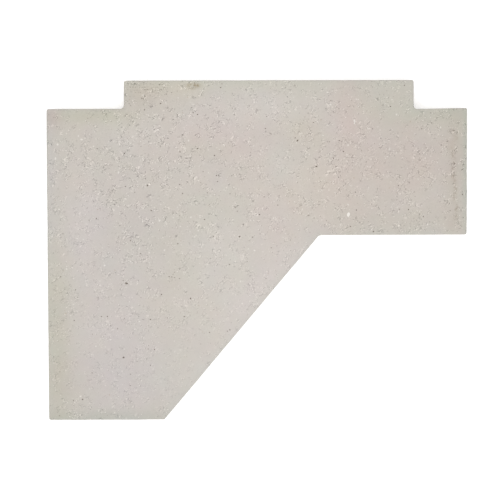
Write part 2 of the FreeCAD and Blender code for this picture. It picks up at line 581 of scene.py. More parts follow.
@dataclass
class Sheet:
    """A flat region of the skin that is filled with triangles around its marks.

    Its points are its edge's, then each mark's, then the loose ones between them. A fence is a pair of
    points that a triangle's side has to join. A point's owner is the number of its mark.
    """

    edge: np.ndarray
    edge_numbers: np.ndarray
    marks: Marks
    grid: np.ndarray
    seed: int
    flat: list[np.ndarray] = field(default_factory=list)
    numbers: list[np.ndarray] = field(default_factory=list)
    owner: list[np.ndarray] = field(default_factory=list)
    fences: list[np.ndarray] = field(default_factory=list)
    pit: list[np.ndarray] = field(default_factory=list)
    grit: list[np.ndarray] = field(default_factory=list)

    def fill(self, skin: Skin, lift: Lift, turned_over: bool = False) -> None:
        """Fills the region.

        Args:
            skin: the surface to add to.
            lift: the function that takes flat places to places and outward directions.
            turned_over: whether the region is seen from its underside.
        """
        around = np.arange(len(self.edge))
        self.flat, self.numbers = [self.edge], [self.edge_numbers]
        self.owner = [np.full(len(self.edge), NOBODY)]
        self.fences = [np.stack([around, np.roll(around, -1)], axis=1)]
        rng = np.random.default_rng(self.seed)
        for grade, marks in self.marks.grades():
            if len(marks.reach):
                self.add_marks(skin, lift, grade, marks, rng)
        grid = clear_of(self.grid, self.marks, GRID_GAP)
        self.flat.append(grid)
        self.numbers.append(skin.add_points(*lift(grid)))
        self.owner.append(np.full(len(grid), NOBODY))
        self.stitch(skin, turned_over)

    def add_marks(
        self, skin: Skin, lift: Lift, grade: Grade, marks: Marks, rng: np.random.Generator
    ) -> None:
        """Adds the points and fences of the marks of one grade.

        Args:
            skin: the surface to add to.
            lift: the function that takes flat places to places and outward directions.
            grade: how finely the marks are drawn.
            marks: the marks.
            rng: the source of chance for their lobes.
        """
        rings, sink = marks.rings(grade, rng)
        count, per_mark = rings.shape[:2]
        is_hollow = marks.sink > 0
        deepest = np.abs(sink).max(axis=1, keepdims=True)
        depth = np.where(is_hollow[:, None], sink / deepest, 0)
        before = sum(len(points) for points in self.flat)
        marks_before = sum(len(some) for some in self.pit)

        points = rings.reshape(-1, 2)
        numbers = skin.add_points(*lift(points), sink.ravel(), depth.ravel())
        first = per_mark * np.arange(count)[:, None]
        ring = np.arange(grade.sides)
        fence = np.stack([first + ring, first + np.roll(ring, -1)], axis=2).reshape(-1, 2)
        self.flat.append(points)
        self.numbers.append(numbers)
        self.owner.append(np.repeat(marks_before + np.arange(count), per_mark))
        self.fences.append(before + fence)
        # A hollow's tone is how strongly painted shade darkens it; a grain's is its paleness
        self.pit.append(np.where(is_hollow, marks.tone, 0))
        self.grit.append(np.where(is_hollow, 0, -marks.tone))
        skin.rims.append(numbers[fence])

    def stitch(self, skin: Skin, turned_over: bool) -> None:
        """Joins the points by the Delaunay rule with every fence kept, without what lies outside the edge.

        Args:
            skin: the surface to add to.
            turned_over: whether the region is seen from its underside.
        """
        points, numbers, owner = (np.concatenate(parts) for parts in (self.flat, self.numbers, self.owner))
        fences = np.concatenate(self.fences)
        fill_all, closeness = 0, 1e-7
        made = delaunay_2d_cdt(points.tolist(), fences.tolist(), [], fill_all, closeness, True)
        if len(made[0]) != len(points):
            raise RuntimeError(f"marks touch: {len(points)} points became {len(made[0])}")
        source = np.array([ids[0] for ids in made[3]])
        corners = source[np.array(made[2])]

        only_edge = (corners < len(self.edge)).all(axis=1)
        outside = np.zeros(len(corners), bool)
        outside[only_edge] = ~within(points[corners[only_edge]].mean(axis=1), self.edge)
        corners = corners[~outside]
        spread = points[corners[:, 1:]] - points[corners[:, :1]]
        clockwise = spread[:, 0, 0] * spread[:, 1, 1] - spread[:, 0, 1] * spread[:, 1, 0] < 0
        corners[clockwise] = corners[clockwise][:, ::-1]
        if turned_over:
            corners = corners[:, ::-1]

        whose = owner[corners]
        held = (whose[:, 0] != NOBODY) & (whose == whose[:, :1]).all(axis=1)
        mark = np.where(held, whose[:, 0], 0)
        pit, grit = (np.concatenate(notes)[mark] * held for notes in (self.pit, self.grit))
        skin.add_triangles(numbers[corners], pit, grit)


@dataclass(frozen=True)
class Pore:
    """One hollow that is placed by itself: its middle, reach, stretch, slant in degrees and how dark its
    painted shade is.
    """

    x: float
    y: float
    reach: float = 0.5
    stretch: float = 1.2
    slant: float = 0.0
    dark: float = 0.79


@dataclass(frozen=True)
class Grain:
    """One grain that is placed by itself: its middle, reach, stretch, slant in degrees and paleness."""

    x: float
    y: float
    reach: float = 0.7
    stretch: float = 1.3
    slant: float = 0.0
    pale: float = 0.5


@dataclass(frozen=True)
class Patch:
    """A soft ellipse on the face: its middle, its half lengths and its slant in degrees."""

    x: float
    y: float
    half_x: float
    half_y: float
    slant: float

    def strength(self, points: np.ndarray) -> np.ndarray:
        """Works out the patch's strength, which fades from its middle as exp(-half the squared distance).

        Args:
            points: places in millimetres, of which only x and y count.

        Returns:
            One number a place, 1 in the middle.
        """
        turned = math.radians(self.slant)
        away = points[:, :2] - (self.x, self.y)
        along = (away[:, 0] * math.cos(turned) + away[:, 1] * math.sin(turned)) / self.half_x
        across = (away[:, 1] * math.cos(turned) - away[:, 0] * math.sin(turned)) / self.half_y
        return np.exp(-(along**2 + across**2) / 2)


@dataclass(frozen=True)
class Cloud(Patch):
    """A patch where the paste set in another tone: steps of lightness, of red against blue, and of green."""

    light: float
    warm: float
    green: float

    def at(self, points: np.ndarray) -> np.ndarray:
        """The lightness, warmth and green that the patch adds, one row a place."""
        return self.strength(points)[:, None] * np.array((self.light, self.warm, self.green))


@dataclass(frozen=True)
class Bustle(Patch):
    """A patch where the fine texture is busier than elsewhere, or calmer, by a share of its strength."""

    gain: float

    def at(self, points: np.ndarray) -> np.ndarray:
        """What the patch adds to the strength, one number a place."""
        return self.strength(points) * self.gain


# Finishes


@dataclass(frozen=True)
class Wire:
    """A socket of a material's tree that takes part in sums: each operator adds its Math node."""

    bench: "Bench"
    socket: bpy.types.NodeSocket

    def maths(self, operation: str, *others: "Wire | float", clamped: bool = False) -> "Wire":
        """Puts this and the others through one Math node.

        Args:
            operation: the node's operation.
            others: the second and third values.
            clamped: whether the result is held between 0 and 1.

        Returns:
            The result.
        """
        return self.bench.math(operation, self, *others, clamped=clamped)

    def __add__(self, other: "Wire | float") -> "Wire":
        """The sum."""
        return self.maths("ADD", other)

    __radd__ = __add__

    def __sub__(self, other: "Wire | float") -> "Wire":
        """The difference."""
        return self.maths("SUBTRACT", other)

    def __rsub__(self, other: float) -> "Wire":
        """The difference from a number."""
        return self.bench.math("SUBTRACT", other, self)

    def __mul__(self, other: "Wire | float") -> "Wire":
        """The product."""
        return self.maths("MULTIPLY", other)

    __rmul__ = __mul__

    def __truediv__(self, other: "Wire | float") -> "Wire":
        """The quotient."""
        return self.maths("DIVIDE", other)

    def __pow__(self, other: "Wire | float") -> "Wire":
        """The power."""
        return self.maths("POWER", other)

    def __neg__(self) -> "Wire":
        """The value with its sign turned."""
        return self.maths("MULTIPLY", -1.0)

    def __abs__(self) -> "Wire":
        """The value without its sign."""
        return self.maths("ABSOLUTE")

    def held(self) -> "Wire":
        """The value held between 0 and 1."""
        return self.maths("ADD", 0.0, clamped=True)

    def past(self, level: float, soft: float) -> "Wire":
        """How far the value is past a level: 0 up to it, then a straight rise to 1 over the softness."""
        return ((self - level) / soft).held()

    def above(self, other: "Wire | float") -> "Wire":
        """1 where this is the greater, and 0 elsewhere."""
        return self.maths("GREATER_THAN", other)


# The Mix node's inputs for the share and the two colours, and its output for the mixed colour
MIX_SHARE, MIX_FIRST, MIX_SECOND, MIX_RESULT = 0, 6, 7, 2


@dataclass
class Bench:
    """A material's node tree, with one way to add a node."""

    material: bpy.types.Material
    tree: bpy.types.NodeTree = field(init=False)

    def __post_init__(self) -> None:
        """Starts from an empty tree."""
        self.material.use_nodes = True
        self.tree = self.material.node_tree
        self.tree.nodes.clear()

    def node(self, kind: str, settings: dict | None = None, sockets: dict | None = None) -> bpy.types.Node:
        """Adds a node: its settings first, then the values or links of its sockets.

        Args:
            kind: the node's type.
            settings: its own properties by name.
            sockets: its inputs by name or number, each a number, a colour, a wire or a node's output.

        Returns:
            The node.
        """
        made = self.tree.nodes.new(kind)
        for name, value in (settings or {}).items():
            setattr(made, name, value)
        for name, value in (sockets or {}).items():
            source = value.socket if isinstance(value, Wire) else value
            if isinstance(source, bpy.types.NodeSocket):
                self.tree.links.new(source, made.inputs[name])
            else:
                made.inputs[name].default_value = source
        return made

    def math(self, operation: str, *values: "Wire | float", clamped: bool = False) -> Wire:
        """Adds a Math node and gives its result."""
        settings = {"operation": operation, "use_clamp": clamped}
        return Wire(self, self.node("ShaderNodeMath", settings, dict(enumerate(values))).outputs[0])

    def note(self, name: str) -> Wire:
        """Reads one number of the mesh's own notes."""
        return Wire(self, self.node("ShaderNodeAttribute", {"attribute_name": name}).outputs["Fac"])

    def note_parts(self, name: str) -> tuple[Wire, Wire, Wire]:
        """Reads three numbers of the mesh's own notes.

        Args:
            name: the note.

        Returns:
            Its parts.
        """
        vector = self.node("ShaderNodeAttribute", {"attribute_name": name}).outputs["Vector"]
        parts = self.node("ShaderNodeSeparateXYZ", sockets={0: vector})
        return tuple(Wire(self, output) for output in parts.outputs[:3])

    def noise(
        self, place: bpy.types.NodeSocket, size: float, detail: float = 1.0, rough: float = 0.5
    ) -> Wire:
        """Adds a noise of soft blotches.

        Args:
            place: the coordinates to read.
            size: the blotches' size in millimetres.
            detail: how many finer noises are added to it.
            rough: how strong each finer one is beside the one before.

        Returns:
            The noise, from about -1 to 1.
        """
        sockets = {"Vector": place, "Scale": 1 / (size * MM), "Detail": detail, "Roughness": rough}
        made = self.node("ShaderNodeTexNoise", {"noise_dimensions": "3D"}, sockets)
        return (Wire(self, made.outputs[0]) - 0.5) * 2

    def specks(self, place: bpy.types.NodeSocket, kind: "Specks") -> Wire:
        """Scatters round specks, one at most in each cell.

        The mask is the reach of the cell's speck less the distance from its middle, over the softness of its
        edge, held between 0 and 1. The reach is the largest times the root of a number drawn for the cell,
        and a cell has none where another number is above the share.

        Args:
            place: the coordinates to read.
            kind: the sizes of the specks.

        Returns:
            The mask, 1 inside a speck.
        """
        sockets = {"Vector": place, "Scale": 1 / (kind.spacing * MM)}
        cells = self.node("ShaderNodeTexVoronoi", {"voronoi_dimensions": "3D", "feature": "F1"}, sockets)
        drawn = self.node("ShaderNodeSeparateColor", sockets={0: cells.outputs["Color"]})
        size, chance = Wire(self, drawn.outputs[0]), Wire(self, drawn.outputs[1])
        radius = size**0.5 * (kind.reach / kind.spacing)
        mask = ((radius - Wire(self, cells.outputs["Distance"])) / (kind.soft / kind.spacing)).held()
        return mask * (1 - chance.above(kind.share))

    def mixed(
        self, share: Wire, first: "bpy.types.NodeSocket | Colour", second: Colour
    ) -> bpy.types.NodeSocket:
        """Mixes two colours.

        Args:
            share: how much of the second there is, which is held between 0 and 1.
            first: the first colour.
            second: the second colour.

        Returns:
            The mixed colour.
        """
        sockets = {MIX_SHARE: share.held(), MIX_FIRST: first, MIX_SECOND: (*second, 1.0)}
        return self.node("ShaderNodeMix", {"data_type": "RGBA"}, sockets).outputs[MIX_RESULT]

    def finish(self, sockets: dict) -> None:
        """Ends the tree in one Principled surface with these sockets."""
        surface = self.node("ShaderNodeBsdfPrincipled", sockets=sockets)
        self.node("ShaderNodeOutputMaterial", sockets={"Surface": surface.outputs[0]})


@dataclass(frozen=True)
class Specks:
    """Scattered specks: their sizes in millimetres, the share of the cells with one, and their strength."""

    spacing: float
    reach: float
    share: float
    soft: float
    strength: float


@dataclass(frozen=True)
class Blotches:
    """Soft unevenness of one size in millimetres: what it adds to the shade, in steps, and to the height."""

    size: float
    shade: float
    height: float = 0.0


@dataclass(frozen=True)
class Flecks:
    """Flecks where a noise passes a level: their soft edge, their shade in steps and their height."""

    level: float
    soft: float
    shade: float
    height: float = 0.0


@dataclass(frozen=True)
class Chamotte:
    """The finish of the cast chamotte: a pale grey-beige paste with pores, drag marks, grog and a dull rim.

    The shade is a sum of steps of the screen's scale: the mesh's own slow tone, soft blotches of four sizes,
    and flecks. The finer ones gather where two slow noises are high and the mesh's note says that the paste
    is busy. The hollows, pinholes, pricks, etched dents and drags are darkened by painted shade, and the
    pricks and drags have painted highlights beside them. Heights are in millimetres.
    """

    paste: Colour = (0.509, 0.473, 0.431)
    # The dark brown of the painted shade in the hollows, pinholes and pricks
    hollow: Colour = (0.135, 0.105, 0.08)
    # Pale grog; the same colour paints the highlights beside the pricks
    pale_grog: Colour = (0.76, 0.73, 0.68)
    tan_grog: Colour = (0.36, 0.27, 0.19)
    stain: Colour = (0.26, 0.20, 0.115)
    shade: float = 0.5
    fresh_shade: float = 2.5
    rough: float = 0.9
    uneven_rough: float = 0.05
    shine: float = 0.25
    relief: float = 0.8

    # How strongly painted shade darkens a hollow at its rim, and how much more on its floor
    pit_rim: float = 0.55
    pit_floor: float = 0.45

    # How strong the stain is all over, and how much it follows the lumps and the grain
    stain_even: float = 0.9
    stain_lumps: float = 1.6
    stain_grain: float = 1.2

    swell: Blotches = Blotches(9.0, 2.0)
    lump: Blotches = Blotches(3.2, 1.6, 0.04)
    grain: Blotches = Blotches(1.1, 2.7, 0.03)
    dust: Blotches = Blotches(0.45, 15.0, 0.02)
    red_cast: Blotches = Blotches(14.0, 2.4)
    green_cast: Blotches = Blotches(11.0, 2.2)
    cast_detail: float = 2.0

    # The fine texture gathers where two noises are high: their sum is stretched and held between 0 and 1,
    # and what follows it has a least strength
    gathering: float = 6.5
    drifting: float = 17.0
    lively_rise: float = 6.0
    drift_rise: float = 2.5
    lively_start: float = 0.3
    lively_least: float = 0.1
    fine_least: float = 0.25
    fine_rise: float = 1.5
    fleck_size: float = 1.5
    fleck_rough: float = 0.6
    # Etched flecks are small dents darkened by painted shade; crumbs are pale bits of the paste
    etched: Flecks = Flecks(0.36, 0.16, -22.0, -0.08)
    crumbs: Flecks = Flecks(0.27, 0.2, 15.0)

    # Drags are the thin lines where a slanting noise passes through zero, shallow grooves darkened by painted
    # shade, and each has a bank beside it that is lightened by a painted highlight
    drag_size: float = 2.2
    drag_length: float = 2.0
    drag_slant: float = 40.0
    drag_stretch: float = 1.8
    bank_offset: float = 0.15
    drag_gaps: Span = (-0.05, 0.1)
    drags: Flecks = Flecks(-0.06, 0.03, -24.0, -0.1)
    banks: Flecks = Flecks(-0.07, 0.04, 19.0, 0.02)

    # Pinpricks and pricks are pores too small for the mesh, darkened by painted shade. The next kind are
    # painted highlights, on the pricks' cells moved a little aside, and the fine grog is the paste's own
    pinpricks: Specks = Specks(1.05, 0.22, 0.36, 0.06, 0.5)
    pricks: Specks = Specks(1.7, 0.42, 0.18, 0.08, 0.45)
    crusts: Specks = Specks(1.7, 0.46, 0.32, 0.1, 0.6)
    fine_grog: Specks = Specks(1.3, 0.36, 0.5, 0.08, 0.42)

    # How the coarse specks follow the swell, the specks' heights, and how far the cells of the painted
    # highlights beside the pricks are moved
    thick_rise: float = 2.5
    thick_start: float = 0.6
    prick_height: float = -0.12
    grog_height: float = 0.02
    crust_shift: Place = (0.6, -0.4, 0.0)

    def make(self, name: str) -> bpy.types.Material:
        """Builds the material.

        Args:
            name: what it is called.

        Returns:
            The material.
        """
        bench = Bench(bpy.data.materials.new(name))
        place = bench.node("ShaderNodeTexCoord").outputs["Object"]
        shift = tuple(part * MM for part in self.crust_shift)
        aside = bench.node("ShaderNodeVectorMath", {"operation": "ADD"}, {0: place, 1: shift}).outputs[0]
        blotches = (self.swell, self.lump, self.grain, self.dust)
        swell, lump, grain, dust = (bench.noise(place, kind.size) for kind in blotches)
        gathered = bench.noise(place, self.gathering, rough=self.fleck_rough)
        drift = bench.noise(place, self.drifting)
        stretched = (gathered * self.lively_rise + drift * self.drift_rise + self.lively_start).held()
        busy = bench.note("busy")
        lively = (stretched * (1 - self.lively_least) + self.lively_least) * busy
        fine = (stretched * self.fine_rise + self.fine_least) * busy
        masks = self.fleck_masks(bench, place, aside, lively)

        layers = [(swell, self.swell), (lump, self.lump)]
        layers += [(grain * fine, self.grain), (dust * fine, self.dust), *masks]
        light, warm, green = bench.note_parts("tone")
        shade = light + bench.note("fresh") * self.fresh_shade + self.shade
        for value, kind in layers:
            shade = shade + value * kind.shade
        warm = warm + bench.noise(place, self.red_cast.size, self.cast_detail) * self.red_cast.shade
        green = green + bench.noise(place, self.green_cast.size, self.cast_detail) * self.green_cast.shade
        toned = self.toned(bench, shade, warm, green)

        thick = (swell * self.thick_rise + self.thick_start).held()
        fine_grog = bench.specks(place, self.fine_grog) * fine
        crusts = bench.specks(aside, self.crusts) * thick
        pinpricks = bench.specks(place, self.pinpricks) * fine
        pricks = bench.specks(place, self.pricks) * thick
        # Pale flecks are grog and the painted highlights beside the pricks; dark flecks are painted shade in
        # the pinholes and pricks
        pale = fine_grog * self.fine_grog.strength + crusts * self.crusts.strength
        dark = pinpricks * self.pinpricks.strength + pricks * self.pricks.strength
        colour = bench.mixed(dark, bench.mixed(pale, toned, self.pale_grog), self.hollow)
        grit = bench.note("grit")
        colour = bench.mixed(-grit, bench.mixed(grit, colour, self.pale_grog), self.tan_grog)
        patchy = lump * self.stain_lumps + grain * self.stain_grain + self.stain_even
        colour = bench.mixed(bench.note("stain") * patchy, colour, self.stain)
        # Painted shade in the mesh's hollows, deeper towards their floors
        shadow = bench.note("depth") * self.pit_floor + self.pit_rim
        colour = bench.mixed(bench.note("pit") * shadow, colour, self.hollow)

        height = (pinpricks + pricks) * self.prick_height + (fine_grog + crusts) * self.grog_height
        for value, kind in layers:
            if kind.height:
                height = height + value * kind.height
        relief = {"Strength": self.relief, "Distance": MM, "Height": height}
        bump = bench.node("ShaderNodeBump", sockets=relief)
        bench.finish(
            {
                "Base Color": colour,
                "Roughness": dust * self.uneven_rough + self.rough,
                "Specular IOR Level": self.shine,
                "Normal": bump.outputs[0],
            }
        )
        return bench.material

    def fleck_masks(
        self, bench: Bench, place: bpy.types.NodeSocket, aside: bpy.types.NodeSocket, lively: Wire
    ) -> list[tuple[Wire, Flecks]]:
        """Works out the flecks: etched spots and thin slanting drags in painted shade, crumbs, and painted
        highlights beside the drags.

        Args:
            bench: the tree.
            place: the coordinates.
            aside: the coordinates moved a little.
            lively: how strong they are.

        Returns:
            Each mask with what it does.
        """
        spots = bench.noise(place, self.fleck_size, rough=self.fleck_rough)
        slanted = bench.node(
            "ShaderNodeMapping",
            {"vector_type": "TEXTURE"},
            {
                "Vector": place,
                "Rotation": (0.0, 0.0, math.radians(self.drag_slant)),
                "Scale": (self.drag_stretch, 1.0, 1.0),
            },
        ).outputs[0]
        drag = bench.noise(slanted, self.drag_size)
        broken = bench.noise(aside, self.drag_length).past(*self.drag_gaps) * lively
        return [
            ((-spots).past(self.etched.level, self.etched.soft) * lively, self.etched),
            (spots.past(self.crumbs.level, self.crumbs.soft) * lively, self.crumbs),
            ((-abs(drag)).past(self.drags.level, self.drags.soft) * broken, self.drags),
            ((-abs(drag - self.bank_offset)).past(self.banks.level, self.banks.soft) * broken, self.banks),
        ]

    def toned(self, bench: Bench, shade: Wire, warm: Wire, green: Wire) -> bpy.types.NodeSocket:
        """Tints the paste: each of its colours times 1 plus its own sum of steps.

        Red takes half the warmth and blue loses it, and what green takes the other two lose between them, so
        that the lightness stays.

        Args:
            bench: the tree.
            shade: the lightness in steps.
            warm: red against blue, in steps.
            green: green against red and blue, in steps.

        Returns:
            The colour.
        """
        half, third = warm * 0.5, green * (1 / 3)
        steps = (shade + half - third, shade + third * 2, shade - half - third)
        factors = {number: part * SHADE_STEP + 1 for number, part in enumerate(steps)}
        tint = bench.node("ShaderNodeCombineXYZ", sockets=factors)
        sockets = {0: tint.outputs[0], 1: self.paste}
        return bench.node("ShaderNodeVectorMath", {"operation": "MULTIPLY"}, sockets).outputs[0]


@dataclass(frozen=True)
class StudioPaper:
    """The finish of the floor: white paper with a faint glow, so that it stays white beside the brick."""

    colour: Colour = (0.92, 0.92, 0.92)
    rough: float = 0.85
    uneven_rough: float = 0.04
    fibre_size: float = 1.5
    fibre_detail: float = 2.0
    glow: float = 0.33

    def make(self, name: str) -> bpy.types.Material:
        """Builds the material.

        Args:
            name: what it is called.

        Returns:
            The material.
        """
        bench = Bench(bpy.data.materials.new(name))
        place = bench.node("ShaderNodeTexCoord").outputs["Object"]
        fibres = bench.noise(place, self.fibre_size, self.fibre_detail)
        bench.finish(
            {
                "Base Color": (*self.colour, 1.0),
                "Roughness": fibres * self.uneven_rough + self.rough,
                "Emission Color": (1.0, 1.0, 1.0, 1.0),
                "Emission Strength": self.glow,
            }
        )
        return bench.material


# The brick


# The hollows and grains of the formed face that are placed one by one
FACE_PORES = (
    Pore(-98.4, -24.3, 0.92, 1.7, -25, 0.78),
    Pore(-100.8, -22.1, 0.42, 1.6, -45, 0.6),
    Pore(-100.9, -80.2, 0.75, 1.3, 20),
    Pore(44.5, 62.9, 0.7, 1.2, 0),
    Pore(-82.1, 49.1, 0.7, 1.4, 70),
    Pore(-13.3, 10.6, 0.7, 1.1, 0),
    Pore(-44.5, 76.6, 0.6, 1.3, 30),
    Pore(-50.3, -35.9, 0.62, 1.2, 100),
    Pore(-132.0, -111.8, 0.6, 1.4, 10),
    Pore(87.3, 14.1, 0.6, 1.2, 60),
    Pore(30.3, 82.4, 0.72, 1.4, 20, 0.8),
    Pore(28.6, 84.4, 0.45, 1.3, 60),
    Pore(64.8, 74.1, 0.55, 1.2, 140),
    Pore(1.7, 27.1, 0.55, 1.2, 0),
    Pore(-72.0, 110.2, 0.55, 1.5, 15),
    Pore(-31.8, 71.4, 0.52, 1.2, 45),
    Pore(-112.8, -49.2, 0.5, 1.2, 80),
    Pore(-80.5, -51.6, 0.5, 1.3, 0),
    Pore(113.6, 30.5, 0.5, 1.1, 0),
    Pore(-72.1, -32.8, 0.5, 1.2, 90),
    Pore(-44.4, 102.0, 0.5, 1.2, 0),
    Pore(-30.4, 56.4, 0.48, 1.3, 60),
    Pore(-77.6, -74.2, 0.48, 1.1, 0),
    Pore(100.0, 107.6, 0.48, 1.2, 30),
    Pore(110.4, 123.4, 0.45, 1.1, 0),
    Pore(-67.7, 117.3, 0.42, 1.2, 0),
    Pore(-85.9, 113.9, 0.42, 1.3, 20),
    Pore(-27.0, 122.1, 0.5, 1.7, 10, 0.8),
    Pore(-47.6, 103.3, 0.45, 1.2, 60),
    Pore(-59.5, 101.8, 0.4, 1.3, 0),
    Pore(-47.6, 115.0, 0.4, 1.1, 0),
    Pore(-138.8, -112.6, 0.46, 1.3, 90, 0.75),
    Pore(-117.3, -49.2, 0.45, 1.3, 0, 0.7),
    Pore(-80.7, -86.3, 0.44, 1.3, 0, 0.65),
    Pore(-95.1, 7.9, 0.45, 1.2, 0, 0.7),
    Pore(-120.5, 24.5, 0.46, 1.2, 70, 0.75),
    Pore(-98.6, 48.4, 0.45, 1.3, 0, 0.7),
    Pore(-58.5, -20.8, 0.44, 1.6, 10, 0.55),
    Pore(154.1, 41.6, 0.48, 1.4, 90, 0.8),
    Pore(70.0, 17.9, 0.47, 1.3, 20, 0.8),
    Pore(-39.5, 23.5, 0.47, 1.2, 0, 0.8),
    Pore(106.0, 48.5, 0.46, 1.3, 60, 0.78),
    Pore(-20.9, -10.4, 0.46, 1.4, 0, 0.78),
    Pore(-55.9, 43.0, 0.46, 1.3, 40, 0.75),
    Pore(61.8, 82.3, 0.46, 1.2, 0, 0.75),
    Pore(-99.2, 73.0, 0.46, 1.3, 110, 0.75),
    Pore(6.4, 91.4, 0.45, 1.2, 0, 0.72),
    Pore(-36.1, -61.5, 0.45, 1.3, 30, 0.72),
    Pore(42.3, 95.8, 0.45, 1.4, 0, 0.72),
    Pore(-58.1, 49.8, 0.45, 1.2, 90, 0.7),
    Pore(-29.7, 51.9, 0.44, 1.3, 0, 0.7),
    Pore(124.8, 25.2, 0.44, 1.2, 50, 0.7),
)
FACE_GRAINS = (
    Grain(-98.7, -27.3, 0.6, 1.4, -30, 0.3),
    Grain(-101.3, -19.0, 0.6, 2.0, 0, 0.3),
    Grain(68.5, 26.9, 1.45, 1.35, 75, 0.85),
    Grain(73.0, 96.4, 1.15, 2.4, 95, 0.65),
    Grain(-131.2, 83.6, 0.9, 1.3, 0),
    Grain(-149.2, 79.9, 0.8, 1.2, 50),
    Grain(-150.8, 69.4, 0.8, 1.4, 90),
    Grain(-73.3, 22.8, 0.85, 1.3, 20),
    Grain(-114.7, -10.8, 0.75, 1.2, 0),
    Grain(-103.7, 58.9, 0.8, 1.3, 70),
    Grain(-66.3, 65.5, 0.75, 1.4, 110),
    Grain(55.1, 109.2, 0.75, 1.3, 0),
    Grain(-51.2, 82.6, 0.7, 1.2, 45),
    Grain(52.8, 118.1, 0.7, 1.2, 0),
    Grain(104.5, 101.6, 0.75, 1.3, 60),
    Grain(-2.1, 0.1, 0.7, 1.2, 0),
    Grain(137.4, 91.8, 0.7, 1.3, 30),
    Grain(-133.5, -109.4, 0.7, 1.5, 10),
    Grain(127.8, 19.2, 0.7, 1.2, 0),
    Grain(-12.7, -23.2, 0.65, 1.2, 80),
    Grain(-110.6, -66.6, 0.7, 1.3, 0),
)

# Where the paste set in another tone
CLOUDS = (
    # The left shoulder, the tongue and the right shoulder
    Cloud(-122, 101, 26, 5, 0, -6, 5, 4),
    Cloud(-153, 100, 6, 6, 0, -7, 3, -4),
    Cloud(-86, 118, 13, 8, 0, -7, 5, 1),
    Cloud(-58, 121, 14, 6, 0, 0, 5, 1),
    Cloud(-12, 125, 60, 4, 0, 0, 2, 2),
    Cloud(6, 108, 32, 11, 0, 5, -2, 0),
    Cloud(68, 108, 9, 20, -5, 0, 3, -3),
    Cloud(95, 112, 20, 12, 0, -1, 0, 3),
    Cloud(137, 101, 19, 6, 0, -5, 1, 3),
    # The arm, from the throat to the nose
    Cloud(75, 68, 14, 30, -15, -1, 3, -2),
    Cloud(114, 68, 26, 20, 0, -4, 4, -2),
    Cloud(149, 65, 6, 42, 0, -6.5, 4, 1),
    Cloud(156.5, 65, 1.5, 45, 0, -6, -3, 3),
    Cloud(115, 22, 38, 7, 0, -3, 2, 0),
    Cloud(36, 46, 24, 26, 0, 1, 3, 0),
    Cloud(32, 90, 9, 9, 0, -2, 3, 1),
    Cloud(17, 64, 9, 11, 0, 2, -4, 2),
    Cloud(11, 30, 12, 30, 0, 1, 1, -2),
    # The middle
    Cloud(-34, 84, 32, 18, 0, 2, 1, -3),
    Cloud(-43, 76, 14, 6, 0, -2, 1, 2),
    Cloud(-36, 32, 24, 10, 0, -1, 1, 1),
    Cloud(-24, -14, 24, 34, 20, 4, -2, 0),
    Cloud(2, -30, 8, 42, -40, 4, -1, -2),
    Cloud(-62, -18, 8, 8, 0, -2, 1, 1),
    Cloud(-66, 10, 15, 13, 0, -3, 0, 0),
    Cloud(-66, -83, 8, 7, 0, 1, 0, 1),
    # The butt and the leg
    Cloud(-92, 46, 30, 36, 0, -2, -1, 0),
    Cloud(-132, 22, 14, 24, 0, 5, -3, -2),
    Cloud(-92, 88, 14, 12, 0, 2, 0, 0),
    Cloud(-116, 8, 12, 12, 0, -2, 0, 0),
    Cloud(-112, -58, 22, 50, 0, 0, -4, -2),
    Cloud(-92, -100, 24, 20, 0, -2, -3, -1),
    Cloud(-151, -62, 8, 58, 0, -7, 4, 3),
    Cloud(-143, -103, 15, 18, 0, -4, 1, 0),
    Cloud(-155, 58, 4, 34, 0, 0, -3, -2),
    Cloud(-112, -125, 42, 4, 0, -8, 0, 2),
)

# Where the fine texture is busier or calmer
BUSTLES = (
    Bustle(-80, 82, 55, 42, 0, 0.3),
    Bustle(-92, 119, 24, 10, 0, 0.5),
    Bustle(-50, 116, 22, 10, 0, 0.2),
    Bustle(-80, 27, 13, 12, 0, 0.35),
    Bustle(-103, 50, 9, 9, 0, 0.2),
    Bustle(-150, 92, 12, 22, 0, 0.1),
    Bustle(-138, 20, 18, 30, 0, -0.25),
    Bustle(11, 72, 10, 46, 0, -0.25),
    Bustle(11, 28, 10, 9, 0, 0.35),
    Bustle(54, 85, 16, 34, 0, 0.15),
    Bustle(79, 60, 9, 16, 0, -0.2),
    Bustle(86, 112, 24, 10, 0, -0.1),
    Bustle(150, 60, 10, 55, 0, 0.3),
    Bustle(105, 22, 32, 12, 0, 0.1),
    Bustle(-12, -5, 20, 18, 0, -0.15),
    Bustle(-119, 0, 12, 12, 0, -0.2),
    Bustle(-123, -42, 10, 10, 0, -0.3),
    Bustle(-90, -78, 62, 34, 0, -0.32),
    Bustle(-55, -85, 14, 46, -35, -0.3),
    Bustle(-128, -122, 30, 8, 0, 0.4),
)

# The stain at the tongue's edge, and two corners of the rough patch at the tongue's left end
STAIN_PLACE = (-47.3, 123.2)
STAIN_REACH = (5.4, 2.5)
STAIN_STRENGTH = 0.5
ROUGH_END = ((-96, 115.5), (-63, 124.3))

# The way of the scuffs down the nose, and each piece of the fibre's groove with its turn and its tone
SCUFF_ROUTE = (
    (146, 90), (149, 84), (145, 77), (147, 72.5), (148, 66), (146.5, 61),
    (147.5, 53), (149, 46.5), (148, 42.5), (147.5, 38), (150.3, 31), (149, 25),
)
FIBRE_GROOVE = (
    (-66.3, -19.3, 0.05, 1.0), (-64.3, -19.6, -0.2, 0.95), (-62.3, -20.1, -0.1, 0.7),
    (-63.3, -17.7, 0.9, 0.5), (-62.1, -16.0, 0.8, 0.65),
)
FIBRE_REACH, FIBRE_STRETCH, FIBRE_SINK = 0.42, 2.6, 0.2

